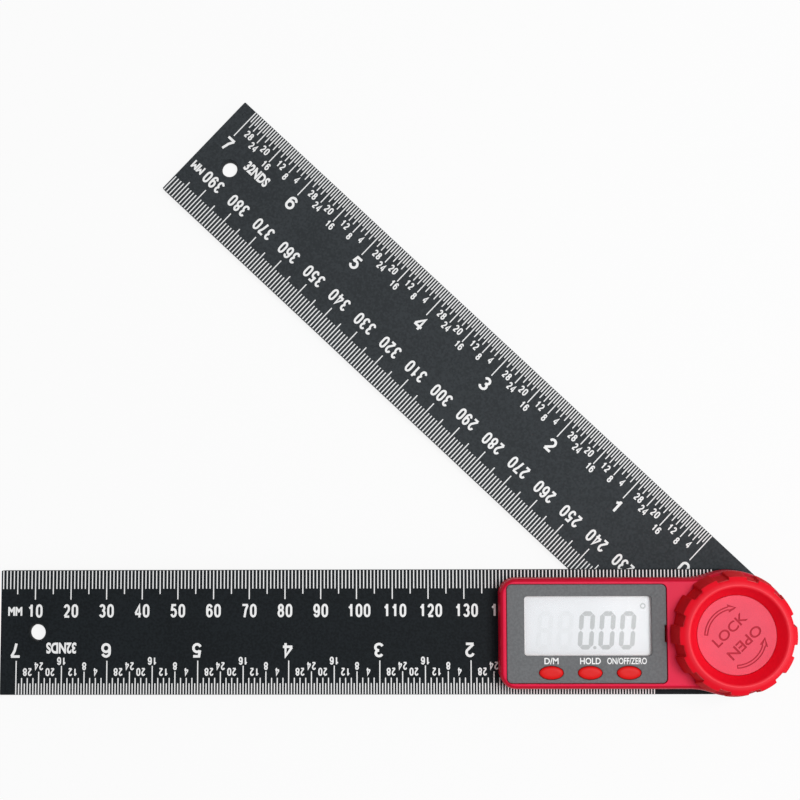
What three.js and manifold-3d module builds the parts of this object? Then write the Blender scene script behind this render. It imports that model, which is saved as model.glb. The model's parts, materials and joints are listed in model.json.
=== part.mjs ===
// Digital angle finder: two hinged ruler arms, a display housing and a lock knob.
// Millimetres, +Z up. The hinge axis is Z through the origin, and z = 0 is the plane
// that the tool lies on. The base arm runs towards -X and carries the display. The swing
// arm lies under it and is drawn opened by armAngle, measured from +X.

import * as THREE from 'three';
import { mergeVertices } from 'three/addons/utils/BufferGeometryUtils.js';
import Module from 'manifold-3d';

const wasm = await Module();
wasm.setup();

// Arms
const armReach = 202.6; // hinge axis to the arm's tip
const armWidth = 34.5;
const armThickness = 3;
const armGap = 0.5; // air between the two arms
const armAngle = 136.6; // degrees
const tipRound = 0.6;
const hangHoleRadius = 2.2;
const hangHoleInset = 10.1; // tip to the hole's centre
const hangHoleChamfer = 0.5;

// Clearances
const runGap = 0.1; // round shafts and behind pieces that turn or slide
const fitGap = 0.2; // round pieces that sit in a pocket
const overrun = 1; // how far a cutter passes a face

// Hinge
const boltHeadRadius = 7;
const boltHeadThickness = 1.6;
const spannerHoleRadius = 0.8;
const spannerHoleOffset = 4.2;
const spannerHoleDepth = 1;
const journalRadius = 3.6;
const bushWall = 1;
const neckSide = 5; // square that stops the bolt turning
const threadRadius = 2.5;
const bossRadius = 8; // swing arm's boss, which turns in the base arm
const bossRise = 1; // boss above the base arm's top
const frictionRingInner = 9;
const frictionRingOuter = 14;
const washerRadius = 6;
const washerThickness = 0.5;

// Angle sensor
const rotorMargin = 2.1; // stator's rim past the rotor's
const rotorThickness = 0.8;
const pilotWall = 0.9; // tube on the boss that centres the rotor
const sensorGap = 0.3;
const statorBore = 4.6;
const statorThickness = 0.8;
const ribbonWidth = 6;
const ribbonThickness = 0.15;
const ribbonLap = 3; // over the circuit board and over the stator

// Housing
const housingReach = 63.5; // hinge axis to the far end
const housingSideInset = 2.15; // arm's sides to the housing's
const housingHeight = 8;
const housingCorner = 4.5;
const housingWall = 1.8;
const housingChamfer = 1.1;
const hubBulge = 2; // hub past the housing's straight sides
const hubWall = 2; // hub's outside to the room for the stator
const flareRadius = 18;
const hubRoof = 1.5;
const ledgeWidth = 1.7; // ledge that the stator sits under
const chamberLap = 0.1; // display chamber's near end inside the hub's radius
const passageWidth = 18; // opening from the chamber to the hub

// Panel, window and display
const panelHubGap = 0.8; // panel to the hub's radius
const panelSideInset = 1.7; // housing's sides to the panel
const panelThickness = 0.8;
const panelCorner = 2;
const panelInset = 2; // housing's far end to the panel
const panelSink = 0.4; // panel's top below the housing's top
const pryNotchLength = 4.7;
const pryNotchWidth = 0.5;
const windowCorner = 0.9;
const windowFarInset = 4.8; // panel's far end to the window
const windowNearInset = 4;
const windowDrop = 3.2; // panel's +Y side to the window
const windowRise = 7.4; // panel's -Y side to the window
const topPlate = 1.2; // housing wall under the panel
const lensMargin = 0.9;
const lensThickness = 0.8;
const lcdMargin = 0.5;
const lcdThickness = 1.6;
const stripWidth = 1.6;

// Buttons
const buttonLength = 6.6;
const buttonWidth = 3.6;
const buttonRise = 2.8; // panel's -Y side to the buttons
const buttonTravel = 0.6;
const buttonFlange = 0.6;
const switchLength = 4.4;
const switchWidth = 3.2;
const switchHeight = 0.8;
const plungerRadius = 0.8;
const plungerHeight = 0.2;

// Battery
const cellRadius = 10;
const cellThickness = 3.2;
const cellChamfer = 0.4;
const cellInset = 19.5; // housing's far end to the cell's centre
const coverThickness = 1;
const coverLip = 1.6; // cover past the cell
const lugLength = 3;
const lugReach = 0.9;
const lugThickness = 0.4;
const coverTurn = 45; // degrees, shut to open
const coinSlotLength = 12;
const coinSlotWidth = 1.6;
const coinSlotDepth = 0.5;
const contactThickness = 0.25;
const contactWidth = 4;
const contactDrop = 0.3; // air between the spring contact's pad and the cell

// Circuit board
const boardThickness = 0.9;
const boardSide = 0.8; // board's edge to the chamber's walls
const boardEndGap = 1; // board's edge to the hub side of the chamber
const chipRadius = 4;
const chipHeight = 0.8;

// Screws
const screwHeadRadius = 2.1;
const screwHeadThickness = 1.3;
const screwRadius = 1;
const screwLength = 6.6; // under the head
const screwBossWall = 1;
const screwBossBite = 0.5; // how far a boss runs into the walls beside it
const hubScrewInset = 2.5; // hub's radius to the screws beside it, along the arm
const hubScrewSide = 3.5; // housing's sides to the screws beside the hub
const boardScrewHeadRadius = 1.4;
const boardScrewHeadThickness = 0.6;
const boardScrewRadius = 0.7;
const boardScrewLength = 2.9;
const boardBossWall = 0.7;
const boardScrewInset = 3; // board's sides to the screws near the hub
const boardScrewOffset = 5; // centre line to the screw at the far end
const crossWidth = 0.5;
const crossDepth = 0.5;

// Knob
const knobInset = 0.1; // hub's radius to the knob's at its foot
const knobHeight = 9;
const knobDraft = 1.2; // how much smaller the radius is at the upper edge
const knobEdgeDrop = 0.9; // rim's crest to the upper edge
const knobGap = 0.3; // knob above the housing
const knobNotchDepth = 0.8;
const knobNotchWidth = 3.4;
const knobRimInset = 3.5; // knob's radius to the crest of its rim
const knobRimWidth = 0.75; // rounding on the rim's inner side
const knobRimDrop = 0.5;
const dishInset = 2.7; // rim's crest to the dish floor
const dishDepth = 3.5;
const capThickness = 1.2;
const knobWall = 2.2;
const knobBossRadius = 6.3;
const knobHollowDepth = 2.6;
const nutAcrossFlats = 8;
const nutThickness = 3.2;

// Counts, and shares of the panel's length for the buttons
const largeSides = 48;
const smallSides = 20;
const tinySides = 10;
const bevelSteps = 2;
const lugCount = 3;
const buttonCount = 3;
const knobToothCount = 12;
const buttonStartShare = 0.2764; // panel's far end to the first button
const buttonPitchShare = 0.2431;
const mergeDistance = 1e-4;

// Heights, worked out from the bottom up
const swingTop = armThickness;
const baseBottom = swingTop + armGap;
const baseTop = baseBottom + armThickness;
const bossTop = baseTop + bossRise;
const rotorTop = bossTop + rotorThickness;
const statorBottom = rotorTop + sensorGap;
const statorTop = statorBottom + statorThickness;
const coverTop = baseBottom + coverThickness;
const cellBottom = coverTop + runGap;
const cellTop = cellBottom + cellThickness;
const boardBottom = cellTop + contactDrop + contactThickness;
const boardTop = boardBottom + boardThickness;
const housingTop = baseTop + housingHeight;
const roofBottom = housingTop - hubRoof;
const panelTop = housingTop - panelSink;
const panelSeat = panelTop - panelThickness;
const plateBottom = panelSeat - topPlate;
const lcdTop = plateBottom - runGap;
const lcdBottom = lcdTop - lcdThickness;
const knobBottom = housingTop + knobGap;
const knobTop = knobBottom + knobHeight;
const dishFloor = knobTop - dishDepth;
const capSeat = dishFloor - capThickness;
const washerBottom = housingTop + runGap;
const washerTop = washerBottom + washerThickness;
const nutBottom = capSeat - nutThickness - runGap;
const threadTop = capSeat - fitGap;
const flangeTop = plateBottom - runGap;
const flangeBottom = boardTop + switchHeight + plungerHeight + buttonTravel + runGap;
const screwHeadBottom = baseBottom + fitGap;
const screwSeat = screwHeadBottom + screwHeadThickness;
const screwTip = screwSeat + screwLength;
const boardScrewTip = boardBottom + boardScrewLength;
const bossRoot = plateBottom + topPlate / 2;

// Places in plan
const halfArm = armWidth / 2;
const halfHousing = halfArm - housingSideInset;
const hubRadius = halfHousing + hubBulge;
const panelFar = -housingReach + panelInset;
const panelNear = -hubRadius - panelHubGap;
const panelLength = panelNear - panelFar;
const halfPanel = halfHousing - panelSideInset;
const windowFar = panelFar + windowFarInset;
const windowNear = panelNear - windowNearInset;
const windowHigh = halfPanel - windowDrop;
const windowLow = -halfPanel + windowRise;
const buttonY = -halfPanel + buttonRise;
const chamberFar = -housingReach + housingWall;
const chamberNear = -hubRadius + chamberLap;
const halfChamber = halfHousing - housingWall;
const screwBossRadius = screwRadius + screwBossWall;
const boardBossRadius = boardScrewRadius + boardBossWall;
const screwInset = screwBossRadius - screwBossBite;
const boardFar = chamberFar + boardSide;
const boardNear = chamberNear - boardEndGap;
const halfBoard = halfChamber - boardSide;
const cellReach = housingReach - cellInset;
const coverRadius = cellRadius + coverLip;
const statorRoom = hubRadius - hubWall;
const statorRadius = statorRoom - fitGap;
const rotorRadius = statorRadius - rotorMargin;
const hubRoom = statorRoom - ledgeWidth;
const bushRadius = journalRadius + runGap + bushWall;
const pilotRadius = bushRadius + runGap + pilotWall;
const knobRadius = hubRadius - knobInset;
const knobRimRadius = knobRadius - knobRimInset;
const dishRadius = knobRimRadius - dishInset;
const hubScrewX = -hubRadius + hubScrewInset;
const hubScrewY = halfHousing - hubScrewSide;
const boardScrewY = halfBoard - boardScrewInset;

const housingScrews = [
  [chamberFar + screwInset, halfChamber - screwInset],
  [chamberFar + screwInset, -halfChamber + screwInset],
  [hubScrewX, hubScrewY],
  [hubScrewX, -hubScrewY],
];
const boardScrews = [
  [boardNear - boardBossRadius, boardScrewY],
  [boardNear - boardBossRadius, -boardScrewY],
  [boardFar + boardBossRadius, boardScrewOffset],
];

// Colours and finishes
const blackPlastic = { color: 0x1d2123, roughness: 0.55, metalness: 0 };
const swingPlastic = { color: 0x2b2e31, roughness: 0.55, metalness: 0 };
const redPlastic = { color: 0xd31433, roughness: 0.35, metalness: 0 };
const capPlastic = { color: 0xe04a5c, roughness: 0.5, metalness: 0 };
const greyPlastic = { color: 0x6b6f70, roughness: 0.5, metalness: 0 };
const buttonRubber = { color: 0xe0201d, roughness: 0.45, metalness: 0 };
const clearPlastic = { color: 0xe8eef2, roughness: 0.1, metalness: 0 };
const lcdGlass = { color: 0xe6eaec, roughness: 0.2, metalness: 0 };
const boardGreen = { color: 0x1f5c3a, roughness: 0.5, metalness: 0 };
const copperTrack = { color: 0xb8863b, roughness: 0.4, metalness: 0.8 };
const steel = { color: 0xb9bcc0, roughness: 0.3, metalness: 1 };
const darkRubber = { color: 0x26262a, roughness: 0.8, metalness: 0 };
const ribbonAmber = { color: 0xa8651c, roughness: 0.5, metalness: 0 };
const brass = { color: 0xc9a24a, roughness: 0.35, metalness: 1 };
const whiteWasher = { color: 0xe4e2da, roughness: 0.6, metalness: 0 };

// Closed three.js geometry to a manifold solid
function toSolid(geometry) {
  geometry.deleteAttribute('normal');
  geometry.deleteAttribute('uv');
  const merged = mergeVertices(geometry, mergeDistance);
  const corners = [];
  for (let i = 0; i < merged.index.count; i += 3) {
    const [a, b, c] = merged.index.array.slice(i, i + 3);
    if (a !== b && b !== c && c !== a) corners.push(a, b, c);
  }
  const vertProperties = merged.attributes.position.array;
  const triVerts = new Uint32Array(corners);
  return new wasm.Manifold(new wasm.Mesh({ numProp: 3, vertProperties, triVerts }));
}

function toGeometry(solid) {
  const mesh = solid.getMesh();
  const geometry = new THREE.BufferGeometry();
  geometry.setAttribute('position', new THREE.BufferAttribute(mesh.vertProperties, 3));
  geometry.setIndex(new THREE.BufferAttribute(mesh.triVerts, 1));
  geometry.computeVertexNormals();
  return geometry;
}

// Box from its low and high corner
function block(x0, x1, y0, y1, z0, z1) {
  const geometry = new THREE.BoxGeometry(x1 - x0, y1 - y0, z1 - z0);
  geometry.translate((x0 + x1) / 2, (y0 + y1) / 2, (z0 + z1) / 2);
  return toSolid(geometry);
}

// Upright cylinder from z0 to z1 at a place in plan
function rod(radius, z0, z1, x = 0, y = 0, sides = smallSides) {
  const geometry = new THREE.CylinderGeometry(radius, radius, z1 - z0, sides);
  geometry.rotateX(Math.PI / 2);
  geometry.translate(x, y, (z0 + z1) / 2);
  return toSolid(geometry);
}

// Solid of revolution about an upright axis, from points of radius and height
function turned(points, sides = largeSides, x = 0, y = 0) {
  const profile = points.map(([radius, height]) => new THREE.Vector2(radius, height));
  const geometry = new THREE.LatheGeometry(profile, sides);
  geometry.rotateX(Math.PI / 2);
  geometry.translate(x, y, 0);
  return toSolid(geometry);
}

// Flat ring between two radii
function ring(inner, outer, z0, z1, sides = largeSides) {
  return turned([[inner, z0], [outer, z0], [outer, z1], [inner, z1], [inner, z0]], sides);
}

// Points of an arc, as fine as a full circle of so many sides
function arc(x, y, radius, from, to, sides = smallSides) {
  const steps = Math.ceil((Math.abs(to - from) * sides) / (2 * Math.PI));
  return Array.from({ length: steps + 1 }, (_, i) => {
    const angle = from + ((to - from) * i) / steps;
    return new THREE.Vector2(x + radius * Math.cos(angle), y + radius * Math.sin(angle));
  });
}

// Upright prism over a drawn outline
function prism(points, z0, z1) {
  const options = { depth: z1 - z0, bevelEnabled: false };
  const geometry = new THREE.ExtrudeGeometry(new THREE.Shape(points), options);
  geometry.translate(0, 0, z0);
  return toSolid(geometry);
}

function roundedRectangle(x0, x1, y0, y1, radius) {
  return [
    ...arc(x1 - radius, y0 + radius, radius, -Math.PI / 2, 0),
    ...arc(x1 - radius, y1 - radius, radius, 0, Math.PI / 2),
    ...arc(x0 + radius, y1 - radius, radius, Math.PI / 2, Math.PI),
    ...arc(x0 + radius, y0 + radius, radius, Math.PI, 1.5 * Math.PI),
  ];
}

// Oval prism centred on a place in plan
function oval(length, width, z0, z1, x, y) {
  const geometry = new THREE.CylinderGeometry(1, 1, z1 - z0, smallSides);
  geometry.rotateX(Math.PI / 2);
  geometry.scale(length / 2, width / 2, 1);
  geometry.translate(x, y, (z0 + z1) / 2);
  return toSolid(geometry);
}

// Upright prism over an outline drawn in X and Z, as thick as width along Y
function strip(points, width) {
  const shape = new THREE.Shape(points.map(([x, z]) => new THREE.Vector2(x, z)));
  const geometry = new THREE.ExtrudeGeometry(shape, { depth: width, bevelEnabled: false });
  geometry.rotateX(Math.PI / 2);
  geometry.translate(0, width / 2, 0);
  return toSolid(geometry);
}

function cut(solid, ...tools) {
  return tools.reduce((left, tool) => left.subtract(tool), solid);
}

function join(solid, ...others) {
  return others.reduce((sum, other) => sum.add(other), solid);
}

// Ruler arm blank towards +X, or turned about the hinge axis by an angle
function armPlate(z0, z1, turn) {
  const outline = [
    ...arc(0, 0, halfArm, Math.PI / 2, 1.5 * Math.PI, largeSides),
    ...arc(armReach - tipRound, -halfArm + tipRound, tipRound, -Math.PI / 2, 0),
    ...arc(armReach - tipRound, halfArm - tipRound, tipRound, 0, Math.PI / 2),
  ];
  const options = { depth: z1 - z0, bevelEnabled: false };
  const geometry = new THREE.ExtrudeGeometry(new THREE.Shape(outline), options);
  geometry.translate(0, 0, z0);
  geometry.rotateZ(turn);
  return toSolid(geometry);
}

// Cutter for the chamfered hole that an arm hangs by
function hangHole(z0, z1, x) {
  const wide = hangHoleRadius + hangHoleChamfer;
  const points = [
    [0, z0 - overrun],
    [wide + overrun, z0 - overrun],
    [hangHoleRadius, z0 + hangHoleChamfer],
    [hangHoleRadius, z1 - hangHoleChamfer],
    [wide + overrun, z1 + overrun],
    [0, z1 + overrun],
  ];
  return turned(points, smallSides, x, 0);
}

// Ring of lugs for the battery cover, or of the slots that they pass through
function lugRing(inner, outer, length, z0, z1, turn) {
  const lugs = [];
  for (let i = 0; i < lugCount; i += 1) {
    const geometry = new THREE.BoxGeometry(outer - inner, length, z1 - z0);
    geometry.translate((inner + outer) / 2, 0, (z0 + z1) / 2);
    geometry.rotateZ(turn + (2 * Math.PI * i) / lugCount);
    geometry.translate(-cellReach, 0, 0);
    lugs.push(toSolid(geometry));
  }
  return lugs;
}

function baseArm() {
  const plate = armPlate(baseBottom, baseTop, Math.PI);
  const low = baseBottom - overrun;
  const high = baseTop + overrun;
  const seat = coverTop + runGap;
  const lugRoom = coverRadius + lugReach + fitGap;
  const lugBottom = coverTop - lugThickness - runGap;
  const slotTurn = -THREE.MathUtils.degToRad(coverTurn);
  const tools = [
    rod(bossRadius + runGap, low, high, 0, 0, largeSides),
    hangHole(baseBottom, baseTop, -armReach + hangHoleInset),
    rod(coverRadius + fitGap, low, seat, -cellReach, 0, largeSides),
    rod(lugRoom, lugBottom, seat, -cellReach, 0, largeSides),
    rod(cellRadius + fitGap, low, high, -cellReach, 0, largeSides),
    ...lugRing(cellRadius, lugRoom, lugLength + 2 * fitGap, low, seat, slotTurn),
  ];
  for (const [x, y] of housingScrews) {
    tools.push(rod(screwHeadRadius + fitGap, low, screwSeat, x, y));
    tools.push(rod(screwRadius + fitGap, low, high, x, y));
  }
  return cut(plate, ...tools);
}

function swingArm() {
  const plate = armPlate(0, swingTop, 0);
  const boss = rod(bossRadius, 0, bossTop, 0, 0, largeSides);
  const pilot = rod(pilotRadius, 0, rotorTop, 0, 0, largeSides);
  const headRoom = rod(boltHeadRadius + fitGap, -overrun, boltHeadThickness + runGap, 0, 0, largeSides);
  const bore = rod(bushRadius + runGap, -overrun, rotorTop + overrun, 0, 0, largeSides);
  return cut(join(plate, boss, pilot), headRoom, bore, hangHole(0, swingTop, armReach - hangHoleInset));
}

function pivotBush() {
  return ring(journalRadius + runGap, bushRadius, boltHeadThickness + runGap, rotorTop);
}

function pivotBolt() {
  const head = rod(boltHeadRadius, 0, boltHeadThickness, 0, 0, largeSides);
  const journal = rod(journalRadius, 0, roofBottom - runGap, 0, 0, largeSides);
  const half = neckSide / 2;
  const neck = block(-half, half, -half, half, boltHeadThickness, housingTop);
  const thread = rod(threadRadius, boltHeadThickness, threadTop, 0, 0, smallSides);
  const tools = [-spannerHoleOffset, spannerHoleOffset].map(
    (x) => rod(spannerHoleRadius, -overrun, spannerHoleDepth, x, 0, tinySides),
  );
  return cut(join(head, journal, neck, thread), ...tools);
}

// Outline of the housing in plan: hub, hollow flares, straight sides and round far corners
function housingOutline() {
  const flareY = halfHousing + flareRadius;
  const flareX = Math.sqrt((hubRadius + flareRadius) ** 2 - flareY ** 2);
  const turn = Math.atan2(flareY, flareX);
  const far = -housingReach + housingCorner;
  const side = halfHousing - housingCorner;
  return [
    ...arc(0, 0, hubRadius, turn - Math.PI, Math.PI - turn, largeSides),
    ...arc(-flareX, flareY, flareRadius, -turn, -Math.PI / 2, largeSides).slice(1),
    ...arc(far, side, housingCorner, Math.PI / 2, Math.PI),
    ...arc(far, -side, housingCorner, Math.PI, 1.5 * Math.PI),
    ...arc(-flareX, -flareY, flareRadius, Math.PI / 2, turn, largeSides).slice(0, -1),
  ];
}

// Housing block with its upper edge rounded
function housingBlock() {
  const options = {
    depth: housingHeight - housingChamfer,
    bevelThickness: housingChamfer,
    bevelSize: housingChamfer,
    bevelOffset: -housingChamfer,
    bevelSegments: bevelSteps,
  };
  const geometry = new THREE.ExtrudeGeometry(new THREE.Shape(housingOutline()), options);
  geometry.translate(0, 0, baseTop);
  const reach = housingReach + hubRadius;
  const below = block(-reach, reach, -reach, reach, baseTop - 2 * housingChamfer, baseTop);
  return cut(toSolid(geometry), below);
}

function panelPrism(grow, z0, z1) {
  const x0 = panelFar - grow;
  const x1 = panelNear + grow;
  const y = halfPanel + grow;
  return prism(roundedRectangle(x0, x1, -y, y, panelCorner + grow), z0, z1);
}

function windowPrism(grow, z0, z1) {
  const outline = roundedRectangle(
    windowFar - grow,
    windowNear + grow,
    windowLow - grow,
    windowHigh + grow,
    windowCorner + grow,
  );
  return prism(outline, z0, z1);
}

function buttonPlaces() {
  const shares = Array.from({ length: buttonCount }, (_, i) => buttonStartShare + i * buttonPitchShare);
  return shares.map((share) => panelFar + share * panelLength);
}

function buttonHoles(z0, z1) {
  const length = buttonLength + 2 * runGap;
  const width = buttonWidth + 2 * runGap;
  return buttonPlaces().map((x) => oval(length, width, z0, z1, x, buttonY));
}

function housingShell() {
  const low = baseTop - overrun;
  const neck = neckSide / 2 + runGap;
  const halfPassage = passageWidth / 2;
  const rooms = [
    block(chamberFar, chamberNear, -halfChamber, halfChamber, low, plateBottom),
    rod(hubRoom, low, roofBottom, 0, 0, largeSides),
    rod(statorRoom, low, statorTop, 0, 0, largeSides),
    block(chamberNear - overrun, -hubRoom / 2, -halfPassage, halfPassage, low, plateBottom),
    block(-neck, neck, -neck, neck, roofBottom - overrun, housingTop + overrun),
    panelPrism(fitGap, panelSeat, housingTop + overrun),
    windowPrism(lensMargin + fitGap, panelSeat - lensThickness, panelSeat + overrun),
    windowPrism(0, plateBottom - overrun, panelSeat),
    ...buttonHoles(plateBottom - overrun, panelSeat + overrun),
  ];
  const bosses = [];
  const pilots = [];
  for (const [x, y] of housingScrews) {
    bosses.push(rod(screwBossRadius, baseTop, bossRoot, x, y));
    pilots.push(rod(screwRadius + runGap, low, screwTip + runGap, x, y));
  }
  for (const [x, y] of boardScrews) {
    bosses.push(rod(boardBossRadius, boardTop, bossRoot, x, y));
    pilots.push(rod(boardScrewRadius + runGap, low, boardScrewTip + runGap, x, y, tinySides));
  }
  return cut(join(cut(housingBlock(), ...rooms), ...bosses), ...pilots);
}

function displayPanel() {
  const halfNotch = pryNotchLength / 2;
  const notch = block(
    panelNear - pryNotchWidth,
    panelNear + overrun,
    -halfNotch,
    halfNotch,
    panelSeat - overrun,
    panelTop + overrun,
  );
  const low = panelSeat - overrun;
  const high = panelTop + overrun;
  const plate = panelPrism(0, panelSeat, panelTop);
  return cut(plate, windowPrism(0, low, high), notch, ...buttonHoles(low, high));
}

// Plate with its far corners cut away round the housing's screw bosses
function circuitBoard() {
  const plate = block(boardFar, boardNear, -halfBoard, halfBoard, boardBottom, boardTop);
  const low = boardBottom - overrun;
  const high = boardTop + overrun;
  const holes = boardScrews.map(([x, y]) => rod(boardScrewRadius + fitGap, low, high, x, y, tinySides));
  const corners = housingScrews.map(([x, y]) => rod(screwBossRadius + fitGap, low, high, x, y));
  return cut(plate, ...holes, ...corners);
}

function sensorRibbon() {
  const bottom = Math.max(boardTop, statorTop) + runGap / 2;
  const x0 = boardNear - ribbonLap;
  const x1 = -statorRadius + ribbonLap;
  return block(x0, x1, -ribbonWidth / 2, ribbonWidth / 2, bottom, bottom + ribbonThickness);
}

function switchBody(x) {
  const halfLength = switchLength / 2;
  const y0 = buttonY - switchWidth / 2;
  const y1 = buttonY + switchWidth / 2;
  const top = boardTop + switchHeight;
  const body = block(x - halfLength, x + halfLength, y0, y1, boardTop, top);
  return join(body, rod(plungerRadius, boardTop, top + plungerHeight, x, buttonY, tinySides));
}

// Oval cap in the panel with a flange that the housing keeps in
function buttonCap(x) {
  const length = buttonLength + 2 * buttonFlange;
  const width = buttonWidth + 2 * buttonFlange;
  const cap = oval(buttonLength, buttonWidth, flangeBottom, housingTop, x, buttonY);
  return join(cap, oval(length, width, flangeBottom, flangeTop, x, buttonY));
}

function coinCell() {
  const points = [
    [0, cellBottom],
    [cellRadius - cellChamfer, cellBottom],
    [cellRadius, cellBottom + cellChamfer],
    [cellRadius, cellTop - cellChamfer],
    [cellRadius - cellChamfer, cellTop],
    [0, cellTop],
  ];
  return turned(points, largeSides, -cellReach, 0);
}

// Sprung strip from the board's underside down to the cell's top
function springContact() {
  const root = -cellReach + cellRadius;
  const bend = root - contactWidth;
  const tip = -cellReach - contactWidth;
  const low = cellTop + runGap;
  const points = [
    [root, boardBottom],
    [root, boardBottom - contactThickness],
    [bend, boardBottom - contactThickness],
    [tip, low],
    [tip, low + contactThickness],
    [bend, boardBottom],
  ];
  return strip(points.reverse(), contactWidth);
}

// Bent strip from the board's underside down beside the cell
function sideContact() {
  const blade = -cellReach - cellRadius - fitGap;
  const foot = blade - contactWidth / 2;
  const points = [
    [blade, boardBottom],
    [foot, boardBottom],
    [foot, boardBottom - contactThickness],
    [blade - contactThickness, boardBottom - contactThickness],
    [blade - contactThickness, baseTop + fitGap],
    [blade, baseTop + fitGap],
  ];
  return strip(points, contactWidth);
}

function batteryCover() {
  const plate = rod(coverRadius, baseBottom, coverTop, -cellReach, 0, largeSides);
  const lugs = lugRing(cellRadius, coverRadius + lugReach, lugLength, coverTop - lugThickness, coverTop, 0);
  const halfLength = coinSlotLength / 2;
  const halfWidth = coinSlotWidth / 2;
  const slot = block(
    -cellReach - halfLength,
    -cellReach + halfLength,
    -halfWidth,
    halfWidth,
    baseBottom - overrun,
    baseBottom + coinSlotDepth,
  );
  return cut(join(plate, ...lugs), slot);
}

// Screw with its head down and a cross cut in it
function screw(headRadius, headThickness, radius, headBottom, tip, [x, y]) {
  const head = rod(headRadius, headBottom, headBottom + headThickness, x, y);
  const shank = rod(radius, headBottom, tip, x, y, tinySides);
  const arm = headRadius / 2;
  const half = crossWidth / 2;
  const low = headBottom - overrun;
  const high = headBottom + crossDepth;
  const cross = join(
    block(x - arm, x + arm, y - half, y + half, low, high),
    block(x - half, x + half, y - arm, y + arm, low, high),
  );
  return cut(join(head, shank), cross);
}

function housingScrew(place) {
  return screw(screwHeadRadius, screwHeadThickness, screwRadius, screwHeadBottom, screwTip, place);
}

function boardScrew(place) {
  const thickness = boardScrewHeadThickness;
  const headBottom = boardBottom - thickness;
  return screw(boardScrewHeadRadius, thickness, boardScrewRadius, headBottom, boardScrewTip, place);
}

// Cutters for the notches between the knob's grip teeth, which lean with its side
function knobNotches() {
  const lean = Math.atan2(knobDraft, knobHeight - knobEdgeDrop);
  const depth = knobNotchDepth + 2 * overrun;
  const height = knobHeight + 2 * overrun;
  const notches = [];
  for (let i = 0; i < knobToothCount; i += 1) {
    const geometry = new THREE.BoxGeometry(depth, knobNotchWidth, height);
    geometry.translate(depth / 2, 0, height / 2 - overrun);
    geometry.rotateY(-lean);
    geometry.translate(knobRadius - knobNotchDepth, 0, knobBottom);
    geometry.rotateZ(((i + 0.5) * 2 * Math.PI) / knobToothCount);
    notches.push(toSolid(geometry));
  }
  return notches;
}

function lockKnob() {
  const body = turned([
    [0, knobBottom],
    [knobRadius, knobBottom],
    [knobRadius - knobDraft, knobTop - knobEdgeDrop],
    [knobRimRadius, knobTop],
    [knobRimRadius - knobRimWidth, knobTop - knobRimDrop],
    [dishRadius, dishFloor],
    [dishRadius, capSeat],
    [0, capSeat],
  ]);
  const low = knobBottom - overrun;
  const tools = [
    ...knobNotches(),
    ring(knobBossRadius, knobRadius - knobWall, low, knobBottom + knobHollowDepth),
    rod(knobBossRadius + overrun, low, washerTop + runGap),
    rod(threadRadius + runGap, low, capSeat + overrun),
    hexPrism(fitGap, nutBottom, capSeat + overrun),
  ];
  return cut(body, ...tools);
}

// Six-sided prism for the nut and its pocket
function hexPrism(grow, z0, z1) {
  const radius = (nutAcrossFlats / 2 + grow) / Math.cos(Math.PI / 6);
  return rod(radius, z0, z1, 0, 0, 6);
}

function knobNut() {
  const bore = rod(threadRadius + runGap, nutBottom - overrun, nutBottom + nutThickness + overrun);
  return cut(hexPrism(0, nutBottom, nutBottom + nutThickness), bore);
}

const object = new THREE.Group();
const swing = new THREE.Group();
swing.rotation.z = THREE.MathUtils.degToRad(armAngle);
object.add(swing);

function add(group, name, solid, look) {
  const mesh = new THREE.Mesh(toGeometry(solid), new THREE.MeshStandardMaterial(look));
  mesh.name = name;
  group.add(mesh);
}

// Arms and hinge
add(object, 'base_arm', baseArm(), blackPlastic);
add(swing, 'swing_arm', swingArm(), swingPlastic);
add(swing, 'pivot_bush', pivotBush(), brass);
add(object, 'pivot_bolt', pivotBolt(), steel);
const frictionRing = ring(frictionRingInner, frictionRingOuter, swingTop + runGap, baseBottom);
add(object, 'friction_ring', frictionRing, whiteWasher);

// Angle sensor
add(swing, 'encoder_rotor', ring(pilotRadius + runGap, rotorRadius, bossTop, rotorTop), copperTrack);
add(object, 'encoder_stator', ring(statorBore, statorRadius, statorBottom, statorTop), boardGreen);
add(object, 'sensor_ribbon', sensorRibbon(), ribbonAmber);

// Housing and display
add(object, 'housing_shell', housingShell(), redPlastic);
add(object, 'display_panel', displayPanel(), greyPlastic);
add(object, 'window_lens', windowPrism(lensMargin, panelSeat - lensThickness, panelSeat), clearPlastic);
add(object, 'lcd_glass', windowPrism(lcdMargin, lcdBottom, lcdTop), lcdGlass);
const stripY = windowHigh + lcdMargin;
const stripBlock = block(windowFar, windowNear, stripY - stripWidth, stripY, boardTop, lcdBottom);
add(object, 'contact_strip', stripBlock, darkRubber);
add(object, 'circuit_board', circuitBoard(), boardGreen);
const chipPlace = [-cellReach, 0];
add(object, 'chip_cover', rod(chipRadius, boardTop, boardTop + chipHeight, ...chipPlace), darkRubber);

// Buttons and their switches
buttonPlaces().forEach((x, i) => {
  add(object, `button_${i + 1}`, buttonCap(x), buttonRubber);
  add(object, `switch_${i + 1}`, switchBody(x), steel);
});

// Battery
add(object, 'coin_cell', coinCell(), steel);
add(object, 'contact_spring', springContact(), steel);
add(object, 'contact_side', sideContact(), steel);
add(object, 'battery_cover', batteryCover(), blackPlastic);

// Screws
housingScrews.forEach((place, i) => add(object, `housing_screw_${i + 1}`, housingScrew(place), steel));
boardScrews.forEach((place, i) => add(object, `board_screw_${i + 1}`, boardScrew(place), steel));

// Lock knob
add(object, 'thrust_washer', ring(threadRadius + runGap, washerRadius, washerBottom, washerTop), steel);
add(object, 'lock_knob', lockKnob(), redPlastic);
add(object, 'knob_nut', knobNut(), brass);
add(object, 'knob_cap', rod(dishRadius - runGap, capSeat, dishFloor, 0, 0, largeSides), capPlastic);

export default object;
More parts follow.
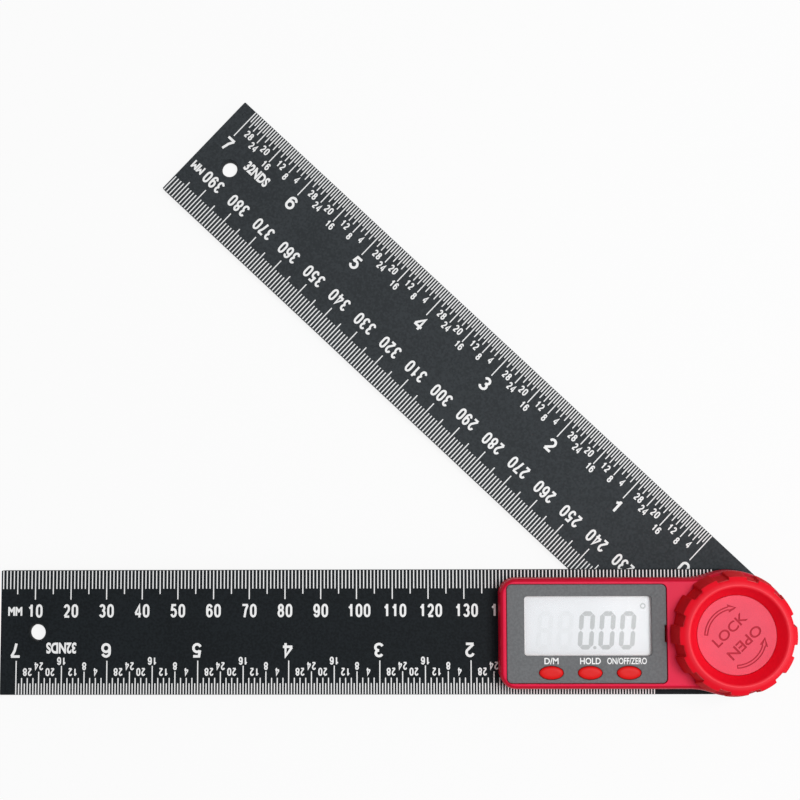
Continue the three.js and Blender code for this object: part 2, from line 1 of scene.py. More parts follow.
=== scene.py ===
import json
import math
from functools import lru_cache
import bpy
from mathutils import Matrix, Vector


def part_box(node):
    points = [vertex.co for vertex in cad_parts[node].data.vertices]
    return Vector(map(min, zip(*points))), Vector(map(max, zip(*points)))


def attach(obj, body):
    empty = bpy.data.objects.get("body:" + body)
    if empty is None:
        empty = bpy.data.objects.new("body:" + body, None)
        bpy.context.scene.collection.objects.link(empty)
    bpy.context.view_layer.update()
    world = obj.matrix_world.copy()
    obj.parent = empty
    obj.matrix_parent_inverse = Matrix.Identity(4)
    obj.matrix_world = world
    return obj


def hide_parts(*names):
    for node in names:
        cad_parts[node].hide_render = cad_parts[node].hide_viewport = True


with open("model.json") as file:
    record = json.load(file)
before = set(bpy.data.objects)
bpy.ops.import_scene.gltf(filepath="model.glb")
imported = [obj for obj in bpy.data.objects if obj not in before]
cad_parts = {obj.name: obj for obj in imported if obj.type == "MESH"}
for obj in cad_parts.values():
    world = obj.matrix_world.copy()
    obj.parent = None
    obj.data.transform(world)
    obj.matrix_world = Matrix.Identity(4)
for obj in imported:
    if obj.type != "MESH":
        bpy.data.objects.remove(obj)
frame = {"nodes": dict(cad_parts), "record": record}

from types import SimpleNamespace

import bmesh
import bpy
from bpy.props import FloatProperty, FloatVectorProperty, IntProperty, PointerProperty
from bpy.types import Operator, Panel, PropertyGroup
from mathutils import Matrix, Vector

bl_info = {
    "name": "Angle Finder Looks",
    "version": (1, 0, 0),
    "blender": (4, 5, 0),
    "location": "3D View > Sidebar > Angle Finder",
    "description": "Builds the looks of a digital angle finder round its fixed frame",
    "category": "Add Mesh",
}

# Shapes are worked out in millimetres and shown in metres
MM = 0.001

# Settings that a user would change


def length(name, description, millimetres):
    """A length property, whose default is given in millimetres."""
    return FloatProperty(name=name, description=description, default=millimetres * MM, unit="LENGTH")


def colour(name, description, default):
    """A colour property."""
    shades = {"size": 3, "subtype": "COLOR"}
    return FloatVectorProperty(name=name, description=description, default=default, **shades)


class ArmSettings(PropertyGroup):
    width: length("Width", "Width of both ruler arms", 34.5)
    tip_round: length("Tip round", "Radius of the tip's corners in plan", 0.3)
    edge: length("Edge", "Rounding of the upper and lower edges", 0.1)
    hole_radius: length("Hole radius", "Radius of the hanging hole", 2.2)
    hole_inset: length("Hole inset", "From the tip to the hanging hole's centre", 10.1)
    hole_bevel: length("Hole bevel", "Width of the bevel round the hanging hole", 0.5)


class ScaleSettings(PropertyGroup):
    ink: length("Ink", "Height of the printed ink above the arm", 0.02)
    line: length("Line", "Width of a scale mark", 0.3)
    margin: length("Margin", "From the arm's edge to the start of the marks", 0.1)
    zero: length("Zero", "From the hinge to the 200 mark of the millimetre scale", 3.0)
    number_height: length("Number height", "Height of the millimetre numbers", 3.75)
    number_drop: length("Number drop", "From the arm's edge to the foot of those numbers", 13.15)
    long_shift: length("Long shift", "How far the base arm's three-digit numbers stand to the hinge", 0.7)
    inch_zero: length("Inch zero", "From the hinge to the inch scale's zero", 20.3)
    inch_height: length("Inch height", "Height of the inch numbers", 4.05)
    inch_drop: length("Inch drop", "From the arm's edge to the foot of the inch numbers", 14.3)
    inch_shift: length("Inch shift", "From an inch mark to the middle of its number", -0.28)
    part_height: length("Part height", "Height of the numbers of the 32nds", 2.2)
    unit_height: length("Unit height", "Height of the millimetre scale's unit", 2.2)
    unit_drop: length("Unit drop", "From the arm's edge to the foot of the unit", 12.45)
    label_height: length("Label height", "Height of the inch scale's label", 2.75)
    label_place: length("Label place", "From the hinge to the middle of that label", 185.5)


class HousingSettings(PropertyGroup):
    half_width: length("Half width", "Half of the housing's width at its straight sides", 15.1)
    flare: length("Flare", "Radius of the hollow flare between hub and side", 18.0)
    corner: length("Corner", "Radius of the far corners in plan", 4.5)
    edge: length("Edge", "Width of the rounded upper edge in plan", 1.3)
    edge_drop: length("Edge drop", "Height of the rounded upper edge", 1.7)
    foot_edge: length("Foot edge", "Bevel of the lower edge", 0.12)
    lift: length("Lift", "Gap under the housing's skirt", 0.03)
    wall: length("Wall", "Thickness of the walls", 1.8)
    label_height: length("Label height", "Height of the words over the buttons", 1.65)
    label_foot: length("Label foot", "Foot of those words along the arm's width", -8.2)


class DisplaySettings(PropertyGroup):
    digit_width: length("Digit width", "Width of a digit", 4.3)
    digit_height: length("Digit height", "Height of a digit", 10.4)
    digit_pitch: length("Digit pitch", "From one digit to the next", 5.65)
    stroke: length("Stroke", "Width of a segment", 1.25)
    slant: FloatProperty(
        name="Slant", description="Sideways lean for each unit of height", default=0.08, subtype="FACTOR"
    )
    foot: length("Foot", "Foot of the digits along the arm's width", -4.45)
    lit_left: length("Lit left", "Left side of the first lit digit, from the hinge", -42.1)
    unlit_left: length("Unlit left", "Left side of the first digit that is off", -53.6)
    point_left: length("Point left", "Middle of the decimal point, from the hinge", -37.3)
    point_foot: length("Point foot", "Middle of the decimal point along the arm's width", -3.95)
    point_radius: length("Point radius", "Radius of the decimal point", 0.45)
    degree_left: length("Degree left", "Middle of the degree sign, from the hinge", -24.0)
    degree_foot: length("Degree foot", "Middle of the degree sign along the arm's width", 7.4)
    degree_outer: length("Degree outer", "Outer radius of the degree sign", 0.8)
    degree_inner: length("Degree inner", "Inner radius of the degree sign", 0.42)


class KnobSettings(PropertyGroup):
    teeth: IntProperty(name="Teeth", description="Number of grip teeth", default=12)
    notch: length("Notch", "Depth of the notches between the teeth", 0.8)
    notch_width: length("Notch width", "Width of the notches between the teeth", 3.4)
    draft: length("Draft", "How much smaller the radius is at the upper edge", 1.2)
    edge_drop: length("Edge drop", "From the rim's crest down to the upper edge", 0.9)
    rim_inset: length("Rim inset", "From the knob's radius in to the rim's crest", 3.5)
    text_turn: FloatProperty(
        name="Text turn", description="Slope of the words", default=math.radians(44), subtype="ANGLE"
    )
    text_height: length("Text height", "Height of the words", 2.6)
    engraving: length("Engraving", "Depth of the words and arrows in the cap", 0.25)
    arrow_radius: length("Arrow radius", "Radius of the arrows' arcs", 7.9)
    arrow_half: length("Arrow half", "Half of an arrow's width", 0.55)
    arrow_line: length("Arrow line", "Width of the line that draws an arrow", 0.36)


class ColourSettings(PropertyGroup):
    base_arm: colour("Base arm", "Plastic of the base arm", (0.01, 0.01275, 0.015))
    # Swing arm: the same black plastic as the base arm, made lighter as painted light
    swing_arm: colour("Swing arm", "Plastic of the swing arm", (0.0355, 0.041, 0.0455))
    ink: colour("Ink", "Printed scales and labels", (0.95, 0.955, 0.955))
    worn_ink: colour("Worn ink", "Printed scales where they are rubbed thin", (0.5, 0.51, 0.52))
    # Top: the housing's red with a pink tint that is painted sheen
    housing_top: colour("Housing top", "Textured top of the housing", (0.855, 0.018, 0.0735))
    # Walls: a deeper red that is painted shade
    housing_wall: colour("Housing wall", "Smooth walls of the housing", (0.58, 0.002, 0.024))
    knob: colour("Knob", "Top and dish of the lock knob", (0.905, 0.0015, 0.017))
    # Grip wall: a darker red that is painted shade
    knob_wall: colour("Knob wall", "Grip wall of the lock knob", (0.66, 0.0, 0.006))
    # Rim's crest: a paler red that is a painted highlight
    knob_crest: colour("Knob crest", "Rubbed crest of the lock knob's rim", (0.98, 0.045, 0.07))
    # Cap: the red plastic with a pale pink that is painted sheen
    cap: colour("Cap", "Textured cap in the knob", (0.875, 0.0935, 0.1475))
    # Engraving: a darker red that is painted shade in the sunk words and arrows
    engraving: colour("Engraving", "Words and arrows sunk into the cap", (0.52, 0.02, 0.045))
    panel: colour("Panel", "Grey panel round the window", (0.15, 0.155, 0.1615))
    buttons: colour("Buttons", "Rubber of the three buttons", (0.79, 0.01, 0.0095))
    display: colour("Display", "Pale ground of the display", (0.86, 0.8825, 0.9125))
    # A near-white band round the window's opening: a painted highlight of the clear window's edge
    border: colour("Border", "Printed border of the display", (0.95, 0.9575, 0.965))
    segments: colour("Segments", "Lit segments of the display", (0.49, 0.51, 0.52))
    unlit: colour("Unlit segments", "Segments of the display that are off", (0.835, 0.8575, 0.8825))


class StageSettings(PropertyGroup):
    lens: FloatProperty(name="Lens", description="Focal length", default=68.58, unit="CAMERA")
    key_power: FloatProperty(
        name="Key power", description="Power of the large light overhead", default=6.0, unit="POWER"
    )
    side_power: FloatProperty(
        name="Side power", description="Power of the light at the right", default=1.2, unit="POWER"
    )
    sky: colour("Sky", "Colour of the light from all round", (0.9, 0.9, 0.9))
    sky_strength: FloatProperty(
        name="Sky strength", description="Strength of that light", default=0.3, subtype="FACTOR"
    )


SETTINGS = {
    "finder_arm": ArmSettings,
    "finder_scale": ScaleSettings,
    "finder_housing": HousingSettings,
    "finder_display": DisplaySettings,
    "finder_knob": KnobSettings,
    "finder_colours": ColourSettings,
    "finder_stage": StageSettings,
}


def in_mm(group):
    """The values of a settings group by name, its lengths in millimetres."""
    values = SimpleNamespace()
    for key in type(group).__annotations__:
        value = getattr(group, key)
        is_length = group.bl_rna.properties[key].unit == "LENGTH"
        setattr(values, key, value / MM if is_length else value)
    return values


@lru_cache
def box_mm(node):
    """Lowest and highest corner of a frame node in millimetres."""
    low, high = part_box(node)
    return low / MM, high / MM


def centres(nodes):
    """Middle of each frame node in plan."""
    boxes = [box_mm(node) for node in nodes]
    return [((low.x + high.x) / 2, (low.y + high.y) / 2) for low, high in boxes]


# Outlines

CORNER_STEPS = 10
LEAST_LEAN = 0.35  # keeps the point of a sharp corner from running away


def arc(x, y, radius, start, end, steps=12, squash=1.0):
    """Points of an arc between two angles in degrees. Squash scales it along Y."""
    angles = [math.radians(start + (end - start) * i / steps) for i in range(steps + 1)]
    return [Vector((x + radius * math.cos(a), y + radius * squash * math.sin(a))) for a in angles]


def circle(x, y, radius, sides=96, squash=1.0):
    return arc(x, y, radius, 0, 360, sides, squash)[:-1]


def rounded_rectangle(x0, x1, y0, y1, radius):
    return [
        *arc(x1 - radius, y0 + radius, radius, -90, 0, CORNER_STEPS),
        *arc(x1 - radius, y1 - radius, radius, 0, 90, CORNER_STEPS),
        *arc(x0 + radius, y1 - radius, radius, 90, 180, CORNER_STEPS),
        *arc(x0 + radius, y0 + radius, radius, 180, 270, CORNER_STEPS),
    ]


def area(loop):
    return sum(a.x * b.y - b.x * a.y for a, b in zip(loop, loop[1:] + loop[:1])) / 2


def inset(loop, distance):
    """The closed loop moved to its left by a distance."""
    moved = []
    for i, point in enumerate(loop):
        before = (point - loop[i - 1]).normalized()
        after = (loop[(i + 1) % len(loop)] - point).normalized()
        side = Vector((-before.y - after.y, before.x + after.x)).normalized()
        lean = max(LEAST_LEAN, side.dot(Vector((-before.y, before.x))))
        moved.append(point + side * (distance / lean))
    return moved


# Meshes

SHARP_ANGLE = math.radians(32)
CAPITAL_HEIGHT = 0.69  # height of a capital letter for each unit of text size


def mesh_of(bm):
    """A mesh from the bmesh, with its faces turned outwards."""
    bmesh.ops.recalc_face_normals(bm, faces=bm.faces)
    mesh = bpy.data.meshes.new("shape")
    bm.to_mesh(mesh)
    bm.free()
    return mesh


def placed(name, data):
    """A new object in the scene that shows the data."""
    made = bpy.data.objects.new(name, data)
    bpy.context.scene.collection.objects.link(made)
    return made


def skin(bm, low, high):
    """Adds the faces between two rings of as many corners."""
    for i in range(len(low)):
        k = (i + 1) % len(low)
        bm.faces.new((low[i], low[k], high[k], high[i]))


def column(loops, levels):
    """Solid over an outline and its holes, through levels of (inset, height)."""
    bm = bmesh.new()
    caps = [[], []]
    for i, loop in enumerate(loops):
        turned = loop if (area(loop) > 0) == (i == 0) else loop[::-1]
        rings = []
        for distance, z in levels:
            points = inset(turned, distance) if distance else turned
            rings.append([bm.verts.new((*p, z)) for p in points])
        for low, high in zip(rings, rings[1:]):
            skin(bm, low, high)
        for cap, ring in zip(caps, (rings[0], rings[-1])):
            cap.extend(bm.edges.get((a, b)) for a, b in zip(ring, ring[1:] + ring[:1]))
    for cap in caps:
        bmesh.ops.triangle_fill(bm, edges=cap, use_beauty=True)
    return mesh_of(bm)


def plate(loops, low, high, top=0.0, bottom=0.0, steps=4):
    """Solid over an outline and its holes with its upper and lower edges rounded."""
    turns = [math.pi / 2 * i / steps for i in range(steps + 1)]
    levels = [(0, low)]
    if bottom:
        levels = [(bottom * (1 - math.sin(t)), low + bottom * (1 - math.cos(t))) for t in turns]
    if top:
        levels += [(top * (1 - math.cos(t)), high - top * (1 - math.sin(t))) for t in turns]
    else:
        levels.append((0, high))
    return column(loops, levels)


def loft(rings, closed=False):
    """Skin through rings of 3D points, closed on itself or with flat ends."""
    bm = bmesh.new()
    rings = [[bm.verts.new(p) for p in ring] for ring in rings]
    for low, high in zip(rings, rings[1:]):
        skin(bm, low, high)
    if closed:
        skin(bm, rings[-1], rings[0])
    else:
        bm.faces.new(rings[0])
        bm.faces.new(rings[-1])
    return mesh_of(bm)


def lathe(profile, sides=96, x=0.0, y=0.0, closed=False):
    """Skin of revolution about an upright axis through points of (radius, height)."""
    return loft([[(*p, z) for p in circle(x, y, r, sides)] for r, z in profile], closed)


def rounded_disc(radius, low, high, edge, x=0.0, y=0.0, sides=96):
    """Disc with its upper and lower edges rounded."""
    return plate([circle(x, y, radius, sides)], low, high, edge, edge, 3)


def block(x0, x1, y0, y1, low, high, edge=0.0):
    """Block with its upper and lower edges rounded."""
    corners = [Vector(p) for p in ((x0, y0), (x1, y0), (x1, y1), (x0, y1))]
    return plate([corners], low, high, edge, edge, 3)


def words(text, height, x, y, low, high, turn=0.0, wide=1.0, bold=0.0):
    """Text as a solid, centred on x, with its baseline at y."""
    curve = bpy.data.curves.new("words", "FONT")
    curve.body = text
    curve.align_x = "CENTER"
    curve.offset = bold
    curve.extrude = 0.5
    curve.resolution_u = 4
    holder = placed("words", curve)
    depsgraph = bpy.context.evaluated_depsgraph_get()
    mesh = bpy.data.meshes.new_from_object(holder.evaluated_get(depsgraph))
    bpy.data.objects.remove(holder)
    scale = height / CAPITAL_HEIGHT
    mesh.transform(Matrix.Diagonal((scale * wide, scale, high - low, 1)))
    mesh.transform(Matrix.Translation((x, y, (low + high) / 2)) @ Matrix.Rotation(turn, 4, "Z"))
    return mesh


def joined(meshes):
    """One mesh out of several."""
    bm = bmesh.new()
    for mesh in meshes:
        bm.from_mesh(mesh)
    mesh = bpy.data.meshes.new("joined")
    bm.to_mesh(mesh)
    bm.free()
    return mesh


def turned(mesh, degrees, x=0.0, y=0.0):
    """The mesh turned about the upright axis and then moved in plan."""
    turn = Matrix.Rotation(math.radians(degrees), 4, "Z")
    mesh.transform(Matrix.Translation((x, y, 0)) @ turn)
    return mesh


def carved(mesh, cutters, crossing=False):
    """The mesh with the cutters taken from it. Crossing allows cutters that cross themselves."""
    holder = placed("holder", mesh)
    tools = []
    for cutter in cutters:
        tool = placed("tool", cutter)
        tools.append(tool)
        modifier = holder.modifiers.new("cut", "BOOLEAN")
        modifier.operation = "DIFFERENCE"
        modifier.solver = "EXACT"
        modifier.use_self = crossing
        modifier.object = tool
    depsgraph = bpy.context.evaluated_depsgraph_get()
    result = bpy.data.meshes.new_from_object(holder.evaluated_get(depsgraph))
    for item in [holder, *tools]:
        bpy.data.objects.remove(item)
    return result


def piece(name, mesh, body, slot, replaced=(), finish=None, turn=0.0):
    """Shows a mesh as a piece that rides on a body and stands for frame nodes."""
    mesh = mesh.copy()
    mesh.transform(Matrix.Rotation(turn, 4, "Z") @ Matrix.Diagonal((MM, MM, MM, 1)))
    mesh.name = name
    mesh.materials.clear()
    mesh.materials.append(FINISHES[finish or slot])
    mesh.polygons.foreach_set("use_smooth", [True] * len(mesh.polygons))
    mesh.set_sharp_from_angle(angle=SHARP_ANGLE)
    shown = placed(name, mesh)
    even = shown.modifiers.new("Even normals", "WEIGHTED_NORMAL")
    even.keep_sharp = True
    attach(shown, body)
    if replaced:
        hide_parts(*replaced)


# Printed digits

DIGIT_PITCH = 1.22  # from one digit to the next, as a share of a digit's width
STROKE_STEP = 0.002  # lifts each stroke of a digit over the one before it
# Width of a digit and of its stroke, as shares of its height
MILLIMETRE_DIGITS = (0.495, 0.16)
INCH_DIGITS = (0.67, 0.175)
PART_DIGITS = (0.52, 0.17)


def bow(x, y, across, up, start, end, steps=10):
    """Points of an oval arc in the unit square of a digit."""
    return [(x + across * (p.x - x), y + up * (p.y - y)) for p in arc(x, y, 1, start, end, steps)]


def ring(x, y, across, up, steps):
    """A closed oval stroke."""
    return (bow(x, y, across, up, 0, 360, steps)[:-1], True)


@lru_cache
def digit_strokes():
    """Centre lines of the digits in a unit square: lists of (points, closed)."""
    six = [ring(0.5, 0.31, 0.5, 0.31, 18), (bow(0.5, 0.68, 0.5, 0.32, 20, 180) + [(0, 0.31)], False)]
    zero = bow(0.5, 0.7, 0.5, 0.3, 0, 180) + bow(0.5, 0.3, 0.5, 0.3, 180, 360)
    one = [(0.1, 0.72), (0.45, 0.84), (0.6, 1.0)]
    two = bow(0.5, 0.7, 0.48, 0.3, 165, -35) + [(0.04, 0.03)]
    three = [bow(0.47, 0.76, 0.45, 0.24, 160, -90), bow(0.47, 0.27, 0.51, 0.27, 90, -160)]
    four = [(0.8, -0.08), (0.8, 1.0), (-0.06, 0.27)]
    five = [(1.0, 1), (0.2, 1), (0.06, 0.5)]
    seven = [(1.03, 0.98), (0.62, 0.55), (0.36, -0.08)]
    return {
        "0": [(zero, True)],
        "1": [([(0.6, 0), (0.6, 1.06)], False), (one, False)],
        "2": [(two, False), ([(0, 0), (1.06, 0)], False)],
        "3": [(half, False) for half in three],
        "4": [(four, False), ([(-0.14, 0.22), (1.16, 0.22)], False)],
        "5": [(five, False), (bow(0.47, 0.32, 0.51, 0.32, 135, -160), False)],
        "6": six,
        "7": [([(-0.11, 1), (1.11, 1)], False), (seven, False)],
        "8": [ring(0.5, 0.765, 0.42, 0.235, 16), ring(0.5, 0.27, 0.5, 0.27, 16)],
        "9": [([(1 - x, 1 - y) for x, y in points], closed) for points, closed in six],
    }


def ribbon(bm, points, width, low, high, closed=False):
    """Adds a flat stroke of a width along points to the bmesh."""
    points = [Vector(p) for p in points]
    count = len(points)
    pairs = []
    for i, point in enumerate(points):
        before = points[i - 1] if i or closed else point
        after = points[(i + 1) % count] if i < count - 1 or closed else point
        first = (point - before).normalized() if before != point else (after - point).normalized()
        last = (after - point).normalized() if after != point else first
        side = Vector((-first.y - last.y, first.x + last.x)).normalized()
        reach = width / 2 / max(0.5, side.dot(Vector((-first.y, first.x))))
        flanks = [point + side * reach, point - side * reach]
        pairs.append([bm.verts.new((*flank, z)) for flank in flanks for z in (high, low)])
    for i in range(count if closed else count - 1):
        (a, a_low, b, b_low), (c, c_low, d, d_low) = pairs[i], pairs[(i + 1) % count]
        bm.faces.new((a, b, d, c))
        bm.faces.new((a, c, c_low, a_low))
        bm.faces.new((b, b_low, d_low, d))
    if not closed:
        for a, a_low, b, b_low in (pairs[0], pairs[-1]):
            bm.faces.new((a, a_low, b_low, b))


def number(bm, text, height, shares, x, y, low, high, sign=1):
    """Adds a number to the bmesh, centred on x over the baseline y, upside down with sign -1."""
    wide, stroke = (height * share for share in shares)
    run, rise = wide - stroke, height - stroke
    for i, digit in enumerate(text):
        left = (i - (len(text) - 1) / 2) * wide * DIGIT_PITCH - run / 2
        for j, (points, closed) in enumerate(digit_strokes()[digit]):
            placed = [(x + sign * (left + a * run), y + sign * (stroke / 2 + b * rise)) for a, b in points]
            ribbon(bm, placed, stroke, low, high + STROKE_STEP * j, closed)


# Materials

# The rays that see a white background: the camera's, and those off gloss and through clear plastic
SEEN_BY = ("Is Camera Ray", "Is Glossy Ray", "Is Transmission Ray")


class Value:
    """A number inside a material. Python sums of it become nodes."""

    def __init__(self, shade, socket):
        self.shade = shade
        self.socket = socket

    def maths(self, operation, first, second=0.0):
        return self.shade.node("ShaderNodeMath", {"operation": operation}, {0: first, 1: second})

    def __add__(self, other):
        return self.maths("ADD", self, other)

    __radd__ = __add__

    def __sub__(self, other):
        return self.maths("SUBTRACT", self, other)

    def __rsub__(self, other):
        return self.maths("SUBTRACT", other, self)

    def __mul__(self, other):
        return self.maths("MULTIPLY", self, other)

    __rmul__ = __mul__

    def root(self):
        return self.maths("SQRT", self)

    def sine(self):
        return self.maths("SINE", self)

    def clipped(self, low, high):
        """0 at low and 1 at high, eased in between."""
        settings = {"interpolation_type": "SMOOTHSTEP"}
        limits = {0: self, 1: low, 2: high, 3: 0.0, 4: 1.0}
        return self.shade.node("ShaderNodeMapRange", settings, limits)


class Shade:
    """The nodes of one material, or of the world."""

    def __init__(self, owner):
        owner.use_nodes = True
        self.owner = owner
        self.tree = owner.node_tree
        self.tree.nodes.clear()

    def node(self, kind, settings=None, inputs=None, output=0):
        """Adds a node, sets it up, feeds its inputs and gives one of its outputs."""
        made = self.tree.nodes.new(kind)
        for key, value in (settings or {}).items():
            setattr(made, key, value)
        for key, value in (inputs or {}).items():
            if isinstance(value, Value):
                self.tree.links.new(value.socket, made.inputs[key])
            else:
                made.inputs[key].default_value = value
        return Value(self, made.outputs[output]) if made.outputs else None

    def split(self, value):
        """Every output of the node that gives a value."""
        return {output.name: Value(self, output) for output in value.socket.node.outputs}

    def place(self):
        """The object's own coordinates."""
        return self.node("ShaderNodeTexCoord", output="Object")

    def stretched(self, x, y, z):
        """The object's coordinates scaled along each axis."""
        inputs = {0: self.place(), 1: (x, y, z)}
        return self.node("ShaderNodeVectorMath", {"operation": "MULTIPLY"}, inputs)

    def axes(self):
        """The object's coordinates in millimetres as three values."""
        scaled = self.stretched(1 / MM, 1 / MM, 1 / MM)
        return self.split(self.node("ShaderNodeSeparateXYZ", inputs={0: scaled})).values()

    def noise(self, scale, detail=2.0, roughness=0.5, place=None):
        inputs = {"Vector": place or self.place(), "Scale": scale}
        inputs.update({"Detail": detail, "Roughness": roughness})
        return self.node("ShaderNodeTexNoise", inputs=inputs)

    def clouds(self, scale=55.0):
        """Soft clouds of tone."""
        return self.noise(scale, 4.0, 0.6)

    def fine_grain(self, scale=7000.0):
        """Grain too fine to see at arm's length."""
        return self.noise(scale, 2.0, 0.6)

    def streaks(self):
        """A few rubbed streaks that run along X."""
        return self.noise(1.0, 3.0, 0.65, self.stretched(60.0, 1400.0, 400.0)).clipped(0.62, 0.74)

    def pits(self, scale):
        return self.node("ShaderNodeTexVoronoi", inputs={"Vector": self.place(), "Scale": scale})

    def mixed(self, first, second, share):
        """Colour between two colours."""
        inputs = {0: share, 6: first, 7: second}
        return self.node("ShaderNodeMix", {"data_type": "RGBA"}, inputs, output=2)

    def seen(self):
        """1 for the rays that see a white background, and 0 for the light on the object."""
        rays = self.split(self.node("ShaderNodeLightPath"))
        return sum(rays[name] for name in SEEN_BY)

    def surface(self, bump=None, depth=0.02, **inputs):
        """Finishes the material. Bump is a height that depth, in millimetres, scales."""
        fed = {key.replace("_", " "): value for key, value in inputs.items()}
        if bump is not None:
            relief = {"Height": bump, "Distance": depth * MM, "Strength": 1.0}
            fed["Normal"] = self.node("ShaderNodeBump", inputs=relief)
        shader = self.node("ShaderNodeBsdfPrincipled", inputs=fed)
        self.node("ShaderNodeOutputMaterial", inputs={"Surface": shader})
        return self.owner


def new_finish(name):
    """The nodes of a new material."""
    return Shade(bpy.data.materials.new(name))


def rgba(red, green, blue):
    return (red, green, blue, 1.0)


def tones(middle, spread):
    """A darker and a paler tone on either side of a colour."""
    return [rgba(*(part * share for part in middle)) for share in (1 - spread, 1 + spread)]


def moulded(name, middle, spread, roughness, depth=0.012, gloss=0.5):
    """Moulded plastic: a fine grain, soft clouds of tone and a few rubbed streaks."""
    shade = new_finish(name)
    clouds, fine, streaks = shade.clouds(), shade.fine_grain(), shade.streaks()
    tone = (clouds * 0.7 + fine * 0.3).clipped(0.25, 0.8)
    return shade.surface(
        bump=fine + streaks * 0.15,
        depth=depth,
        Base_Color=shade.mixed(*tones(middle, spread), tone),
        Roughness=clouds * 0.1 + streaks * 0.06 + (roughness - 0.05),
        Specular_IOR_Level=gloss,
    )


def mottled(name, middle, spread, roughness, gloss):
    """Textured plastic: a mottle that shows at arm's length, a fine grain and rubbed streaks."""
    shade = new_finish(name)
    clouds, fine, streaks = shade.clouds(), shade.fine_grain(), shade.streaks()
    mottle = shade.noise(1500.0, 1.0, 0.5)
    tone = (clouds * 0.3 + mottle * 0.7).clipped(0.36, 0.64)
    return shade.surface(
        bump=mottle + fine * 0.4 + streaks * 0.15,
        depth=0.025,
        Base_Color=shade.mixed(*tones(middle, spread), tone),
        Roughness=clouds * 0.1 + streaks * 0.06 + (roughness - 0.05),
        Specular_IOR_Level=gloss,
    )


def turned_metal(name, base, dark):
    """Turned metal with fine rings about the hinge and a little tarnish."""
    shade = new_finish(name)
    x, y, z = shade.axes()
    clouds = shade.clouds(180.0)
    return shade.surface(
        bump=((x * x + y * y).root() * 42.0 + z * 30.0).sine(),
        depth=0.004,
        Base_Color=shade.mixed(dark, base, clouds.clipped(0.2, 0.6)),
        Roughness=clouds * 0.12 + 0.28,
        Metallic=1.0,
    )


def printed_ink(colours):
    """White ink that is a little worn."""
    shade = new_finish("printed_ink")
    wear = shade.noise(900.0, 5.0, 0.7).clipped(0.2, 0.38)
    fine = shade.noise(5000.0)
    return shade.surface(
        bump=fine,
        depth=0.006,
        Base_Color=shade.mixed(rgba(*colours.worn_ink), rgba(*colours.ink), wear),
        Roughness=fine * 0.1 + 0.5,
    )


def display_face(colours):
    """Pale display with soft clouds and a faint lattice of its conductors."""
    shade = new_finish("display_face")
    x, y, _ = shade.axes()
    clouds = shade.noise(40.0)
    lattice = (x * 18.0).sine() * (y * 18.0).sine()
    tone = (clouds + lattice * 0.03).clipped(0.2, 0.8)
    return shade.surface(
        Base_Color=shade.mixed(*tones(colours.display, 0.022), tone),
        Roughness=clouds * 0.1 + 0.3,
    )


def segment_film(name, middle, spread):
    """Film of the display's segments, and of the painted highlight round the window."""
    shade = new_finish(name)
    clouds = shade.noise(300.0, 3.0)
    return shade.surface(
        Base_Color=shade.mixed(*tones(middle, spread), clouds),
        Roughness=clouds * 0.1 + 0.4,
    )


def clear_window():
    """Thin clear window that shows what lies under it."""
    shade = new_finish("clear_window")
    clouds = shade.noise(90.0, 3.0)
    return shade.surface(
        Base_Color=rgba(0.95, 0.97, 0.98),
        Roughness=clouds * 0.06 + 0.06,
        Alpha=clouds * 0.04 + 0.06,
    )


def housing_plastic(colours):
    """Red plastic with a fine texture on its top and smoother walls; the top's pink tint is painted sheen
    and the walls' deeper red is painted shade.
    """
    shade = new_finish("housing_red")
    _, _, z = shade.axes()
    top = box_mm("housing_shell")[1].z
    # The walls and the rounded upper edge: smoother, and their deeper red is painted shade
    wall = 1.0 - z.clipped(top - 0.14, top - 0.01)
    clouds, grain = shade.clouds(), shade.noise(4200.0, 3.0, 0.65)
    tone = (clouds * 0.6 + grain * 0.4).clipped(0.25, 0.8)
    # The top's red with a pink tint of painted sheen, and the walls' deeper red of painted shade
    textured_top_with_sheen = shade.mixed(*tones(colours.housing_top, 0.065), tone)
    shaded_wall = shade.mixed(*tones(colours.housing_wall, 0.07), tone)
    return shade.surface(
        bump=grain * (1.0 - wall * 0.7),
        depth=0.03,
        Base_Color=shade.mixed(textured_top_with_sheen, shaded_wall, wall),
        Roughness=clouds * 0.1 + 0.42 - wall * 0.1,
        Specular_IOR_Level=0.14,
    )


def knob_plastic(colours, knob):
    """Glossy red plastic, dull on the grip wall, whose darker red is painted shade; the rim's crest is
    paler as a painted highlight.
    """
    shade = new_finish("knob_red")
    x, y, z = shade.axes()
    high = box_mm("lock_knob")[1]
    edge = high.z - knob.edge_drop
    crest = high.x - knob.rim_inset
    reach = (x * x + y * y).root()
    outside = reach.clipped(crest, crest + 0.6)
    # A band on the rim's crest made paler: a painted highlight
    rubbed = reach.clipped(crest - 0.75, crest - 0.2) * (1.0 - reach.clipped(crest + 0.1, crest + 1.3))
    # The grip wall: duller, and darker in colour as painted shade
    wall = (1.0 - z.clipped(edge - 0.35, edge - 0.05)) * outside
    clouds, fine = shade.clouds(), shade.fine_grain()
    tone = (clouds * 0.7 + fine * 0.3).clipped(0.25, 0.8)
    plain = shade.mixed(*tones(colours.knob, 0.05), tone)
    rim = shade.mixed(plain, rgba(*colours.knob_crest), rubbed * (clouds * 0.5 + 0.4))
    return shade.surface(
        bump=fine,
        depth=0.006,
        Base_Color=shade.mixed(rim, rgba(*colours.knob_wall), wall),
        Roughness=clouds * 0.1 + wall * 0.45 + 0.37,
        Specular_IOR_Level=0.2,
    )


